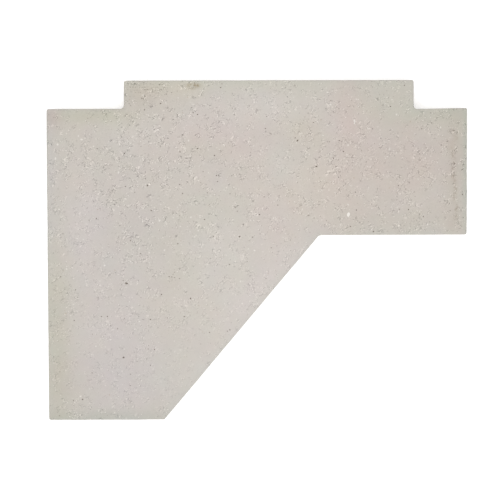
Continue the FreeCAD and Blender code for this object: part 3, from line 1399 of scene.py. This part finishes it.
# The scrapes at the tongue's left end: where each starts, how it slants in radians, and its dashes
TONGUE_SCRAPES = (
    (-95.6, 124.6, 0.02, 2), (-90.2, 124.3, 0.06, 5), (-79.4, 124.7, -0.05, 2), (-72.6, 124.2, 0.1, 2),
    (-94.4, 122.5, -0.03, 3), (-87.6, 122.2, 0.08, 4), (-77.6, 122.4, 0.0, 3), (-68.6, 122.0, 0.1, 1),
    (-96.2, 120.6, -0.1, 2), (-91.4, 120.3, 0.05, 3), (-83.4, 120.4, 0.1, 2), (-75.6, 120.2, -0.06, 1),
    (-90.4, 118.4, 0.0, 2), (-81.2, 118.3, 0.1, 1),
    (-96.6, 111.8, -0.9, 3), (-82.4, 107.4, 0.75, 4),
)

# The way from one dash to the next, and how far each strays in place and in turn
DASH_STRIDE, DASH_SPREAD = 1.9, 0.12

# Slow tones in steps of lightness, warmth and green, and how far some of them reach in millimetres
SCUFF_TONE, SCUFF_REACH = (-3.5, 1.5, 0.0), 1.9
LINE_TONE, LINE_REACH = (-18.0, 4.0, 0.0), 0.6
RIM_TONE, RIM_REACH = (-1.2, -3.0, 1.5), 7.0
SLOW_TONE = (0.5, 0.5, 0.25)

# The number of the outline's corner at the root of the right shoulder
RIGHT_ROOT = 5

# The marks of the formed face that chance draws. The dashes' number comes from the scrapes
FACE_BUBBLES = Sprinkle(60, (0.38, 0.58), 1.8, 1.7, (0.7, 1.0), (0.45, 0.75), seed=31, margin=3.0)
FACE_TAN_GRAINS = Sprinkle(60, (0.3, 0.6), 1.5, 1.8, (-0.06, -0.02), (0.2, 0.5), seed=33, crowding=0.4)
FACE_PINHOLES = Sprinkle(
    780, (0.15, 0.38), 1.4, 2.0, (0.7, 1.1), (0.25, 0.78), seed=34, margin=2.4, crowding=1.1
)
FACE_SCRATCHES = Sprinkle(
    440, (0.2, 0.42), 1.3, 6.0, (0.25, 0.5), (0.15, 0.45), seed=35, margin=2.8, crowding=1.4
)
FACE_PALE_GRAINS = Sprinkle(
    700, (0.24, 0.72), 2.2, 2.0, (-0.08, -0.03), (-0.5, -0.1), seed=32, crowding=0.9
)
NOSE_SCUFFS = Sprinkle(70, (0.24, 0.44), 1.0, 3.6, (0.25, 0.5), (0.12, 0.34))
TONGUE_DASHES = Sprinkle(0, (0.3, 0.4), 1.0, 3.6, (0.3, 0.5), (0.45, 0.78))
TONGUE_SCUFFS = Sprinkle(40, (0.22, 0.5), 1.0, 4.5, (0.2, 0.5), (0.3, 0.7))
TONGUE_TEARS = Sprinkle(24, (0.35, 0.8), 1.0, 2.0, (-0.08, -0.04), (-0.55, -0.2))

# The back, which was screeded: fewer pores, some of them dragged, and coarse pale grains
BACK_VOIDS = Sprinkle(46, (0.5, 1.3), 2.2, 2.4, (0.5, 0.9), (0.4, 0.85), seed=41, margin=4.0)
BACK_GRAINS = Sprinkle(300, (0.4, 1.0), 1.8, 1.8, (-0.08, -0.03), (-0.7, -0.15), seed=42, margin=2.8)
BACK_PINHOLES = Sprinkle(420, (0.18, 0.4), 1.3, 2.2, (0.6, 1.0), (0.4, 0.9), seed=43)

# The side wall
WALL_BUBBLES = Sprinkle(50, (0.4, 0.95), 2.4, 1.6, (0.6, 0.9), (0.5, 0.85))
WALL_GRAINS = Sprinkle(150, (0.35, 0.8), 1.8, 1.6, (-0.08, -0.03), (-0.6, -0.15))
WALL_PINHOLES = Sprinkle(420, (0.16, 0.4), 1.3, 1.6, (0.6, 1.0), (0.4, 0.9))


@dataclass(frozen=True)
class FormedFace:
    """The marks of the face that the mould formed: some placed one by one, and most drawn by chance."""

    outline: Outline
    seed: int
    gap: float = 0.12

    # Where the marks crowd: two ripples with their shares, and how many places are tried for each mark
    broad_crowd: Ripple = Ripple(71, 18, 80)
    close_crowd: Ripple = Ripple(72, 6, 18)
    crowd_shares: Span = (0.6, 0.8)
    tries: int = 4
    least_bustle: float = 0.3

    # How the line of scuffs sways, how it comes and goes, and the way from one scuff to the next
    sway: float = 0.9
    swaying: Ripple = Ripple(61, 3, 9)
    fading: Ripple = Ripple(62, 4, 16)
    fade_even: float = 0.45
    fade_rise: float = 0.7
    scuff_fade: Span = (1.3, 0.3)
    scuff_stride: Span = (0.9, 2.2)
    scuff_spread: float = 0.25

    # How the long marks slant, in radians: the middle and the spread
    scuff_slant: Span = (0.0, 0.35)
    tongue_slant: Span = (0.5, 0.4)
    scratch_slant: Span = (0.8, 0.7)

    def rng(self, draw: Draw) -> np.random.Generator:
        """The source of chance for one of the face's draws."""
        return np.random.default_rng(self.seed + draw)

    def bustle(self, points: np.ndarray) -> np.ndarray:
        """How strong the fine texture is: 1 and what the patches add, but never less than a small share."""
        return np.maximum(1 + sum(patch.at(points) for patch in BUSTLES), self.least_bustle)

    def spots(self, kind: Sprinkle, face: bool = True) -> np.ndarray:
        """Draws places inside the outline, denser where two slow ripples are high and the face is busy.

        Args:
            kind: the recipe, whose crowding says how strongly the ripples gather its marks.
            face: whether they are on the face, or else on the back.

        Returns:
            The places.
        """
        rng = np.random.default_rng(kind.seed)
        low, high = self.outline.corners.min(axis=0), self.outline.corners.max(axis=0)
        places = rng.uniform(low, high, (kind.count * self.tries, 2))
        chance = rng.random(len(places)) * (1 + kind.crowding)
        broad, close = self.crowd_shares
        thick = broad * self.broad_crowd.at(places) + close * self.close_crowd.at(places)
        likely = 1 + kind.crowding * thick
        if face:
            likely *= self.bustle(places)
        kept = (self.outline.depth_inside(places) > kind.margin) & (chance < likely)
        return places[kept][: kind.count]

    def swayed(self, points: np.ndarray, share: float) -> np.ndarray:
        """Moves points to the right by a share of the line's sway at their y."""
        sideways = self.sway * share * self.swaying.at(points[:, 1:])
        return points + sideways[:, None] * (1, 0)

    def from_scuffs(self, points: np.ndarray) -> np.ndarray:
        """How far points lie from the route of the scuffs."""
        return leg_distance(points, *route_legs(SCUFF_ROUTE)).min(axis=1)

    def scuff_tone(self, points: np.ndarray) -> np.ndarray:
        """Works out the tone of the scuffed band and of the broken dark line in it.

        Each fades as exp(-squared distance). The line's strength along its way is a ripple held between 0
        and 1.

        Args:
            points: flat places, one row each.

        Returns:
            Lightness, warmth and green, one row a place.
        """
        band = np.exp(-((self.from_scuffs(points) / SCUFF_REACH) ** 2))
        line = np.exp(-((self.from_scuffs(self.swayed(points, 1.0)) / LINE_REACH) ** 2))
        line *= np.clip(self.fade_even + self.fade_rise * self.fading.at(points[:, 1:]), 0, 1)
        line *= self.downwards(points, self.scuff_fade)
        return band[:, None] * SCUFF_TONE + line[:, None] * LINE_TONE

    def downwards(self, points: np.ndarray, ends: Span) -> np.ndarray:
        """Reads a value that goes evenly from the foot of the line of scuffs to its head."""
        head, foot = SCUFF_ROUTE[0][1], SCUFF_ROUTE[-1][1]
        return np.interp(points[:, 1], (foot, head), ends)

    def landmarks(self) -> Marks:
        """Places the hollows and grains that are set one by one.

        Returns:
            The marks.
        """
        bowl, proud = 0.9, -0.05
        rows = [(p.x, p.y, p.reach, p.stretch, p.slant, p.reach * bowl, p.dark) for p in FACE_PORES]
        rows += [(g.x, g.y, g.reach, g.stretch, g.slant, proud, -g.pale) for g in FACE_GRAINS]
        x, y, reach, stretch, slant, sink, tone = np.array(rows).T
        return Marks(np.stack([x, y], axis=1), reach, stretch, np.radians(slant), sink, tone)

    def nose_scuffs(self) -> Marks:
        """Draws the broken, wiggling line of shallow scratches down the nose, each turned along the route.

        Returns:
            The marks.
        """
        rng = self.rng(Draw.NOSE_SCUFFS)
        route = np.array(SCUFF_ROUTE, float)
        stride = np.linalg.norm(np.diff(route, axis=0), axis=1)
        known = np.concatenate([[0], np.cumsum(stride)])
        covered = np.cumsum(rng.uniform(*self.scuff_stride, NOSE_SCUFFS.count))
        covered = covered[covered < known[-1]]
        place, ahead = (
            np.stack([np.interp(way, known, column) for column in route.T], axis=1)
            for way in (covered, covered + 1)
        )
        along = np.arctan2(*(ahead - place)[:, ::-1].T)
        place = self.swayed(place, -1.0) + rng.normal(0, self.scuff_spread, place.shape)
        marks = NOSE_SCUFFS.over(rng, place)
        marks.turned = along + rng.normal(*self.scuff_slant, len(along))
        deepening = self.downwards(place, self.scuff_fade)
        marks.tone *= deepening
        marks.sink *= deepening
        return marks

    def tongue_scuffs(self) -> Marks:
        """Draws the rough end of the tongue: short slanting scuffs and torn paste.

        Returns:
            The marks.
        """
        rng = self.rng(Draw.TONGUE_SCUFFS)
        low, high = ROUGH_END
        count = TONGUE_SCUFFS.count + TONGUE_TEARS.count
        place = np.stack([rng.uniform(low[axis], high[axis], count) for axis in (0, 1)], axis=1)
        scuffs = TONGUE_SCUFFS.over(rng, place[: TONGUE_SCUFFS.count])
        tears = TONGUE_TEARS.over(rng, place[TONGUE_SCUFFS.count :])
        both = Marks.joined([scuffs, tears])
        both.turned = rng.normal(*self.tongue_slant, count)
        return both

    def scrapes(self) -> Marks:
        """Draws the scrapes at the tongue's left end, each a row of short hollows end to end.

        Returns:
            The marks.
        """
        rng = self.rng(Draw.SCRAPES)
        x, y, slant, dashes = np.array(TONGUE_SCRAPES).T
        dashes = dashes.astype(int)
        number = np.concatenate([np.arange(count) for count in dashes])
        x, y, slant = (np.repeat(values, dashes) for values in (x, y, slant))
        way = number * DASH_STRIDE
        place = np.stack([x + way * np.cos(slant), y + way * np.sin(slant)], axis=1)
        marks = TONGUE_DASHES.over(rng, place + rng.normal(0, DASH_SPREAD, place.shape))
        marks.turned = slant + rng.normal(0, DASH_SPREAD, len(slant))
        return marks

    def fibre_groove(self) -> Marks:
        """Lays the groove that one fibre of the mould left: thin hollows end to end, with a branch.

        Returns:
            The marks.
        """
        x, y, turned, tone = np.array(FIBRE_GROOVE).T
        reach, stretch, sink = (np.full(len(x), value) for value in (FIBRE_REACH, FIBRE_STRETCH, FIBRE_SINK))
        return Marks(np.stack([x, y], axis=1), reach, stretch, turned, sink, tone)

    def scratches(self) -> Marks:
        """Draws the short shallow drags, most of which rise to the right.

        Returns:
            The marks.
        """
        rng = self.rng(Draw.SCRATCHES)
        marks = FACE_SCRATCHES.over(rng, self.spots(FACE_SCRATCHES))
        marks.turned = rng.normal(*self.scratch_slant, len(marks.turned))
        return marks

    def marks(self) -> Marks:
        """Puts all the marks together; where two would touch, the one that comes first here stays.

        Returns:
            The marks.
        """
        rng = self.rng(Draw.FACE_MARKS)
        sets = [self.landmarks(), self.nose_scuffs(), self.scrapes(), self.tongue_scuffs()]
        sets.append(self.fibre_groove())
        sets += [kind.over(rng, self.spots(kind)) for kind in (FACE_BUBBLES, FACE_TAN_GRAINS, FACE_PINHOLES)]
        sets += [self.scratches(), FACE_PALE_GRAINS.over(rng, self.spots(FACE_PALE_GRAINS))]
        return Marks.joined(sets).apart(self.gap)


@dataclass
class CastBrick:
    """The whole brick: one casting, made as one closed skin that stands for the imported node."""

    outline: Outline
    height: float
    seed: int = 4107

    # The arrises: how round they are, how much that wanders, the least, and the most as a share of the
    # corner's rounding less the inset, of which no more than a little is counted
    face_arris: float = 1.2
    back_arris: float = 0.8
    arris_wear: Span = (0.22, 0.25)
    least_arris: float = 0.4
    most_arris: float = 0.93
    inset_counted: float = 0.2

    # How finely it is drawn: the steps along and around the rim and the arrises, and between loose points
    rim_step: float = 0.85
    corner_steps: int = 6
    face_steps: int = 5
    back_steps: int = 4
    coarse_step: float = 2.1
    fine_step: float = 1.05
    scuff_step: float = 0.6
    back_step: float = 3.0
    wall_step: float = 2.0
    seam_steps: int = 11

    # How deep inside the outline each kind of loose points lies, how near the scuffs the coarse ones end
    # and the dense ones begin, and how far all of them stay from the sagging shoulder
    coarse_depths: Span = (5.5, math.inf)
    fine_depths: Span = (2.2, 5.2)
    dense_depths: Span = (5.5, 14.0)
    back_depths: Span = (2.4, math.inf)
    coarse_from_scuffs: float = 3.2
    dense_to_scuffs: float = 2.8
    sag_margin: float = 2.4

    # How far the wall's loose points and its marks stay from the seam, from its foot and from its head,
    # and the least paste between two marks of the back or the wall
    wall_grid_margins: Place = (1.2, 2.4, 2.6)
    wall_mark_margins: Place = (2.5, 3.2, 3.4)
    mark_gap: float = 0.15

    # How far the cast surface lies inside the drawing's, so that its grains stay inside too
    skin_depth: float = 0.12
    recess: Span = (0.012, 0.02)
    most_recess: float = 0.08
    slump: float = 0.75

    # The chips: how many, the share of them at the face, their bite, how rare the large ones are, and how
    # much rounder than its bite each is
    chips: int = 150
    face_chips: float = 0.62
    chip_bite: Span = (0.12, 0.62)
    chip_rarity: int = 3
    chip_round: Span = (2.0, 5.0)
    least_chip: float = 0.8

    # The rim's ripples, the surface's with their heights, and the screed's, drawn out along x
    sway: Ripple = Ripple(11, 14, 90)
    wear: Ripple = Ripple(12, 5, 60)
    swell: Ripple = Ripple(21, 25, 120)
    peel: Ripple = Ripple(22, 2.6, 9)
    uneven: Span = (0.022, 0.012)
    uneven_limits: Span = (-0.03, 0.06)
    screed: Ripple = Ripple(23, 3.0, 14)
    screed_depth: float = 0.03
    screed_along: float = 0.12
    screed_limits: Span = (-0.03, 0.08)

    # The three slow tones, and how much of the rim's tone the side wall has
    slow: tuple[Ripple, ...] = (Ripple(51, 20, 110), Ripple(52, 20, 110), Ripple(53, 20, 110))
    side_rim: float = 0.4

    # What the brick is made from: its parts, the levels of its face and its back, how far in the wall lies
    # and how round the arrises are at each place of the rim, and where the chips have bared the paste
    rng: np.random.Generator = field(init=False)
    rim: Rim = field(init=False)
    face: FormedFace = field(init=False)
    skin: Skin = field(init=False)
    top: float = field(init=False)
    bottom: float = field(init=False)
    inset: np.ndarray = field(init=False)
    face_radius: np.ndarray = field(init=False)
    back_radius: np.ndarray = field(init=False)
    fresh: np.ndarray = field(init=False)

    def build(self) -> bpy.types.Object:
        """Makes the brick's skin and puts it into a mesh object.

        Returns:
            The object, at the origin.
        """
        self.rng = np.random.default_rng(self.seed)
        self.rim = Rim.around(self.outline, self.rim_step, self.corner_steps)
        self.face = FormedFace(self.outline, self.seed)
        self.top, self.bottom = self.height - self.skin_depth, self.skin_depth
        self.skin = Skin()
        self.wear_rim()
        face_rows = self.arris_rows(self.face_radius, rows=self.face_steps, upward=True)
        back_rows = self.arris_rows(self.back_radius, rows=self.back_steps, upward=False)
        self.fill_face(*face_rows[0])
        self.fill_back(*back_rows[-1])
        self.fill_wall(face_rows[-1][0], back_rows[0][0])
        place, outward = self.settle_skin()
        place = self.chipped(place)
        low, high = (np.array(corner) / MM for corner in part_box(NODE))
        return self.as_object(np.clip(place, low, high), outward)

    def wear_rim(self) -> None:
        """Works out along the rim how far the wall lies in and how round each arris is.

        Both follow slow ripples, and the right shoulder sags evenly towards its root.
        """
        rim = self.rim
        recess = self.recess[0] + self.recess[1] * self.sway.at(rim.place)
        self.inset = np.clip(recess, 0.0, self.most_recess)
        right = self.outline.corners[:, 0].max()
        root = self.outline.corners[RIGHT_ROOT, 0]
        on_shoulder = (rim.place[:, 0] > root) & (rim.outward[:, 1] > FACING)
        self.inset += np.where(on_shoulder, self.slump * (right - rim.place[:, 0]) / (right - root), 0)
        wear = self.wear.at(rim.place)
        face_wear, back_wear = self.arris_wear
        most = self.most_arris * CORNER_RADIUS - np.minimum(self.inset, self.inset_counted)
        self.face_radius = np.minimum(self.face_arris * (1 + face_wear * wear), most)
        self.back_radius = np.clip(self.back_arris * (1 + back_wear * wear), self.least_arris, most)

    def arris_rows(
        self, radius: np.ndarray, rows: int, upward: bool
    ) -> list[tuple[np.ndarray, np.ndarray]]:
        """Carries an arris profile, a quarter round, along the rim.

        A row at angle a from the level surface lies radius * (1 - sin a) inwards of the wall and
        radius * (1 - cos a) from the surface.

        Args:
            radius: the radius at each place of the rim.
            rows: how many rows of points.
            upward: whether it is the arris of the face.

        Returns:
            Each row's numbers and its flat places, from the top down.
        """
        made = []
        angles = np.linspace(0, QUARTER, rows)
        for angle in angles if upward else angles[::-1]:
            sine, cosine = math.sin(angle), math.cos(angle)
            drop = radius * (1 - cosine)
            flat = self.rim.place - self.rim.outward * (self.inset + radius * (1 - sine))[:, None]
            level = self.top - drop if upward else self.bottom + drop
            rise = np.full(len(flat), cosine if upward else -cosine)
            outward = np.column_stack([self.rim.outward * sine, rise])
            made.append((self.skin.add_points(np.column_stack([flat, level]), outward), flat))
        self.skin.add_band([row for row, flat in made])
        return made

    def loose_grid(self, step: float, margin: Span) -> np.ndarray:
        """Lays loose points over the brick where they lie between two depths inside the outline.

        Args:
            step: about how far apart they are.
            margin: the least and the most depth inside.

        Returns:
            The flat places.
        """
        low, high = self.outline.corners.min(axis=0), self.outline.corners.max(axis=0)
        grid = jittered_grid(self.rng, low, high, step)
        depth = self.outline.depth_inside(grid)
        root = self.outline.corners[RIGHT_ROOT]
        on_sag = (grid[:, 0] > root[0]) & (grid[:, 1] > root[1] - self.slump - self.sag_margin)
        return grid[(depth > margin[0]) & (depth < margin[1]) & ~on_sag]

    @staticmethod
    def level_lift(level: float, up: float) -> Lift:
        """Makes the function that puts flat places at a level.

        Args:
            level: the height in millimetres.
            up: 1 where the surface faces up, and -1 where it faces down.

        Returns:
            The function.
        """
        return lambda flat: (
            np.column_stack([flat, np.full(len(flat), level)]),
            np.tile((0, 0, up), (len(flat), 1)),
        )

    def fill_face(self, numbers: np.ndarray, edge: np.ndarray) -> None:
        """Fills the formed face, with more points near its edge and along the line of scuffs.

        Args:
            numbers: the numbers of the points around it.
            edge: their flat places.
        """
        coarse = self.loose_grid(self.coarse_step, self.coarse_depths)
        fine = self.loose_grid(self.fine_step, self.fine_depths)
        dense = self.loose_grid(self.scuff_step, self.dense_depths)
        coarse = coarse[self.face.from_scuffs(coarse) > self.coarse_from_scuffs]
        dense = dense[self.face.from_scuffs(dense) < self.dense_to_scuffs]
        grid = np.concatenate([coarse, fine, dense])
        sheet = Sheet(edge, numbers, self.face.marks(), grid, self.seed + Draw.FACE_LOBES)
        sheet.fill(self.skin, self.level_lift(self.top, 1.0))

    def fill_back(self, numbers: np.ndarray, edge: np.ndarray) -> None:
        """Fills the screeded back.

        Args:
            numbers: the numbers of the points around it.
            edge: their flat places.
        """
        rng = np.random.default_rng(self.seed + Draw.BACK_MARKS)
        grid = self.loose_grid(self.back_step, self.back_depths)
        kinds = (BACK_VOIDS, BACK_GRAINS, BACK_PINHOLES)
        marks = Marks.joined([kind.over(rng, self.face.spots(kind, face=False)) for kind in kinds])
        sheet = Sheet(edge, numbers, marks.apart(self.mark_gap), grid, self.seed + Draw.BACK_LOBES)
        sheet.fill(self.skin, self.level_lift(self.bottom, -1.0), turned_over=True)

    def lift_wall(self, flat: np.ndarray) -> tuple[np.ndarray, np.ndarray]:
        """Wraps flat places around the brick's side.

        Args:
            flat: the way along the rim and the height, one row each.

        Returns:
            The places and the outward directions.
        """
        place = self.rim.carried(self.rim.place, flat[:, 0])
        outward = self.rim.carried(self.rim.outward, flat[:, 0])
        outward /= np.linalg.norm(outward, axis=1, keepdims=True)
        place = place - outward * self.rim.carried(self.inset, flat[:, 0])[:, None]
        return np.column_stack([place, flat[:, 1]]), np.column_stack([outward, np.zeros(len(flat))])

    def wall_window(self, margins: Place) -> tuple[Span, Span]:
        """The lowest and highest corner of the unrolled wall, less margins at the seam, foot and head."""
        seam, foot, head = margins
        return (seam, foot), (self.rim.length - seam, self.top - head)

    def fill_wall(self, upper: np.ndarray, lower: np.ndarray) -> None:
        """Fills the side wall, unrolled and joined again along an upright seam.

        Args:
            upper: the numbers of the points around its head.
            lower: the numbers of the points around its foot.
        """
        rng = np.random.default_rng(self.seed + Draw.WALL_MARKS)
        upper_level = self.top - self.face_radius
        lower_level = self.bottom + self.back_radius
        length = self.rim.length
        seam_level = np.linspace(lower_level[0], upper_level[0], self.seam_steps + 1)[1:-1]
        seam_flat = np.column_stack([np.zeros(len(seam_level)), seam_level])
        seam = self.skin.add_points(*self.lift_wall(seam_flat))

        way = np.append(self.rim.covered, length)
        bottom_edge = np.column_stack([way, np.append(lower_level, lower_level[0])])
        top_edge = np.column_stack([way, np.append(upper_level, upper_level[0])])[::-1]
        far_seam = np.column_stack([np.full(len(seam_level), length), seam_level])
        edge = np.concatenate([bottom_edge, far_seam, top_edge, seam_flat[::-1]])
        numbers = np.concatenate(
            [np.append(lower, lower[0]), seam, np.append(upper, upper[0])[::-1], seam[::-1]]
        )

        low, high = self.wall_window(self.wall_grid_margins)
        grid = jittered_grid(self.rng, low, high, self.wall_step)
        grid = grid[(grid > low).all(axis=1) & (grid < high).all(axis=1)]
        low, high = self.wall_window(self.wall_mark_margins)
        kinds = (WALL_BUBBLES, WALL_GRAINS, WALL_PINHOLES)
        marks = Marks.joined([kind.over(rng, rng.uniform(low, high, (kind.count, 2))) for kind in kinds])
        sheet = Sheet(edge, numbers, marks.apart(self.mark_gap), grid, self.seed + Draw.WALL_LOBES)
        sheet.fill(self.skin, self.lift_wall)

    def settle_skin(self) -> tuple[np.ndarray, np.ndarray]:
        """Sinks the hollows and adds the cast surface's unevenness, and the screed's drag lines on the back.

        Returns:
            The places and the outward directions of all points.
        """
        place, outward = np.concatenate(self.skin.place), np.concatenate(self.skin.outward)
        sink = np.concatenate(self.skin.sink)
        broad, close = self.uneven
        uneven = np.clip(broad * self.swell.at(place) + close * self.peel.at(place), *self.uneven_limits)
        dragged = self.screed_depth * self.screed.at(place * (self.screed_along, 1.0, 0.0))
        dragged = np.clip(dragged, *self.screed_limits)
        uneven += np.where(outward[:, 2] < -FACING, dragged, 0)
        return place - outward * (sink + uneven)[:, None], outward

    def chipped(self, place: np.ndarray) -> np.ndarray:
        """Knocks chips off both arrises: points inside a sphere move straight out of it, into the brick.

        Args:
            place: all the places.

        Returns:
            The places after the chips.
        """
        rng = np.random.default_rng(self.seed + Draw.CHIPS)
        number = rng.integers(0, len(self.rim.place), self.chips)
        on_face = rng.random(self.chips) < self.face_chips
        least, most = self.chip_bite
        bite = least + (most - least) * rng.random(self.chips) ** self.chip_rarity
        radius = self.least_chip + bite * rng.uniform(*self.chip_round, self.chips)
        arris = np.where(on_face, self.face_radius[number], self.back_radius[number])
        halfway = 1 - math.sqrt(0.5)
        inwards = self.inset[number] + arris * halfway
        level = np.where(on_face, self.top - arris * halfway, self.bottom + arris * halfway)
        lean = np.column_stack([self.rim.outward[number], np.where(on_face, 1.0, -1.0)]) / math.sqrt(2)
        flat = self.rim.place[number] - self.rim.outward[number] * inwards[:, None]
        on_arris = np.column_stack([flat, level])
        centres = on_arris + lean * (radius - bite)[:, None]
        self.fresh = np.zeros(len(place))
        for centre, reach in zip(centres, radius):
            away = place - centre
            distance = np.linalg.norm(away, axis=1)
            hit = distance < reach
            place[hit] = centre + away[hit] * (reach / distance[hit])[:, None]
            self.fresh[hit] = 1.0
        return place

    def tones(self, place: np.ndarray, outward: np.ndarray) -> np.ndarray:
        """Works out the slow tone at each point: the face's patches, its scuffs and a dull green rim.

        The rim's tone fades as exp(-distance).

        Args:
            place: all the places.
            outward: which way the surface faces there.

        Returns:
            Lightness, warmth and green, one row a point.
        """
        flat = place[:, :2]
        faces_up = np.clip(outward[:, 2], 0, 1)[:, None]
        patches = sum(cloud.at(flat) for cloud in CLOUDS) + self.face.scuff_tone(flat)
        inside = np.maximum(self.outline.depth_inside(flat), 0)[:, None]
        rim = np.exp(-inside / RIM_REACH) * RIM_TONE
        slow = np.column_stack([ripple.at(place) for ripple in self.slow])
        return patches * faces_up + rim * (self.side_rim + (1 - self.side_rim) * faces_up) + slow * SLOW_TONE

    def stains(self, place: np.ndarray) -> np.ndarray:
        """The olive brown stain at the tongue's edge: exp(-r cubed), where r is 1 all along an ellipse."""
        away = (place[:, :2] - STAIN_PLACE) / STAIN_REACH
        return STAIN_STRENGTH * np.exp(-np.linalg.norm(away, axis=1) ** 3) * (place[:, 2] > self.height / 2)

    def as_object(self, place: np.ndarray, outward: np.ndarray) -> bpy.types.Object:
        """Puts the skin into a mesh with its notes, smooth but for the hollows' rims.

        Args:
            place: all the places, in millimetres.
            outward: which way the surface faces there.

        Returns:
            The object.
        """
        skin = self.skin
        mesh = bpy.data.meshes.new("cast_brick")
        mesh.from_pydata(place * MM, [], np.concatenate(skin.triangles), shade_flat=False)
        busy = np.where(outward[:, 2] > FACING, self.face.bustle(place), 1)
        point_notes = {"depth": np.concatenate(skin.depth), "stain": self.stains(place)}
        point_notes |= {"fresh": self.fresh, "busy": busy}
        face_notes = {"pit": np.concatenate(skin.pit), "grit": np.concatenate(skin.grit)}
        for domain, notes in (("POINT", point_notes), ("FACE", face_notes)):
            for name, values in notes.items():
                note = mesh.attributes.new(name, "FLOAT", domain)
                note.data.foreach_set("value", values.astype(np.float32))
        tone = self.tones(place, outward).astype(np.float32)
        mesh.attributes.new("tone", "FLOAT_VECTOR", "POINT").data.foreach_set("vector", tone.ravel())

        # An edge is known by its two points' numbers, put together in one number
        ends = np.zeros(2 * len(mesh.edges), np.int32)
        mesh.edges.foreach_get("vertices", ends)
        ends = np.sort(ends.reshape(-1, 2), axis=1)
        rims = np.sort(np.concatenate(skin.rims), axis=1)
        sharp = np.isin(ends @ (len(place), 1), rims @ (len(place), 1))
        mesh.attributes.new("sharp_edge", "BOOLEAN", "EDGE").data.foreach_set("value", sharp)
        mesh.validate()
        brick = bpy.data.objects.new("cast_brick", mesh)
        bpy.context.scene.collection.objects.link(brick)
        return brick

    def dress(self, brick: bpy.types.Object) -> None:
        """Gives the brick its finish and tells the frame what it stands for.

        Args:
            brick: the object.
        """
        brick.data.materials.append(Chamotte().make("cast_chamotte"))
        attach(brick, "root")
        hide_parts(NODE)


# The studio


@dataclass
class Studio:
    """The pale floor, the soft light and the camera above the brick, in millimetres and degrees."""

    camera_place: Place = (-9.6, 31.29, 910.81)
    camera_turn: Place = (-1.991, -0.273, -0.174)
    lens: float = 85.0
    sensor: float = 36.0
    sky_strength: float = 0.56
    lamp_power: float = 4.4
    lamp_size: float = 600.0
    lamp_place: Place = (-45.0, -60.0, 820.0)
    floor_reach: float = 4000.0
    flat_reach: float = 1800.0
    sweep_height: float = 1300.0
    floor_level: float = -0.1

    def build(self) -> None:
        """Makes the camera, the light and the floor."""
        self.make_camera()
        self.make_sky()
        self.make_lamp()
        self.make_floor()
        bpy.context.scene.view_settings.view_transform = "Standard"

    def make_camera(self) -> None:
        """Stands the camera where the photographer stood."""
        data = bpy.data.cameras.new("camera")
        data.lens = self.lens
        data.sensor_width = self.sensor
        camera = bpy.data.objects.new("camera", data)
        camera.location = [value * MM for value in self.camera_place]
        camera.rotation_euler = [math.radians(value) for value in self.camera_turn]
        bpy.context.scene.collection.objects.link(camera)
        bpy.context.scene.camera = camera

    def make_sky(self) -> None:
        """Fills the room with even white light."""
        world = bpy.data.worlds.new("white_room")
        world.use_nodes = True
        world.node_tree.nodes["Background"].inputs["Color"].default_value = (1.0, 1.0, 1.0, 1.0)
        world.node_tree.nodes["Background"].inputs["Strength"].default_value = self.sky_strength
        bpy.context.scene.world = world

    def make_lamp(self) -> None:
        """Hangs a broad round lamp above the brick."""
        data = bpy.data.lights.new("soft_lamp", "AREA")
        data.shape = "DISK"
        data.size = self.lamp_size * MM
        data.energy = self.lamp_power
        lamp = bpy.data.objects.new("soft_lamp", data)
        lamp.location = [value * MM for value in self.lamp_place]
        lamp.visible_camera = False
        bpy.context.scene.collection.objects.link(lamp)

    def make_floor(self) -> None:
        """Lays the floor: a round sheet of rings and spokes that sweeps up far from the brick.

        The rings' radius grows with the square of their number, and beyond the flat part a ring's height is
        the sweep's height times the square of its way through the sweep.
        """
        spokes, rings = 64, 24
        radius = self.floor_reach * (np.arange(1, rings + 1) / rings) ** 2
        angle = TURN * np.arange(spokes) / spokes
        through = np.clip((radius - self.flat_reach) / (self.floor_reach - self.flat_reach), 0, 1)
        level = self.floor_level + self.sweep_height * through**2
        x = np.append(0, np.outer(radius, np.cos(angle)))
        y = np.append(0, np.outer(radius, np.sin(angle)))
        z = np.append(self.floor_level, np.repeat(level, spokes))
        here = 1 + np.arange(spokes)
        beside = np.roll(here, -1)
        faces = np.stack([np.zeros(spokes, int), here, beside], axis=1).tolist()
        for ring in range(rings - 1):
            inner, inner_next = here + ring * spokes, beside + ring * spokes
            faces += np.stack([inner, inner + spokes, inner_next + spokes, inner_next], axis=1).tolist()
        mesh = bpy.data.meshes.new("studio_floor")
        mesh.from_pydata(np.stack([x, y, z], axis=1) * MM, [], faces, shade_flat=False)
        floor = bpy.data.objects.new("studio_floor", mesh)
        floor.data.materials.append(StudioPaper().make("studio_paper"))
        bpy.context.scene.collection.objects.link(floor)


def main() -> None:
    """Builds the studio and the brick, and reports the piece."""
    logging.basicConfig(level=logging.INFO, format="%(message)s")
    Studio().build()
    low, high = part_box(NODE)
    brick = CastBrick(Outline.from_frame(ROOT_RADIUS, CORNER_RADIUS), (high.z - low.z) / MM)
    made = brick.build()
    brick.dress(made)
    log.info("%s: %d triangles", made.name, len(made.data.polygons))


if __name__ == "__main__":
    main()
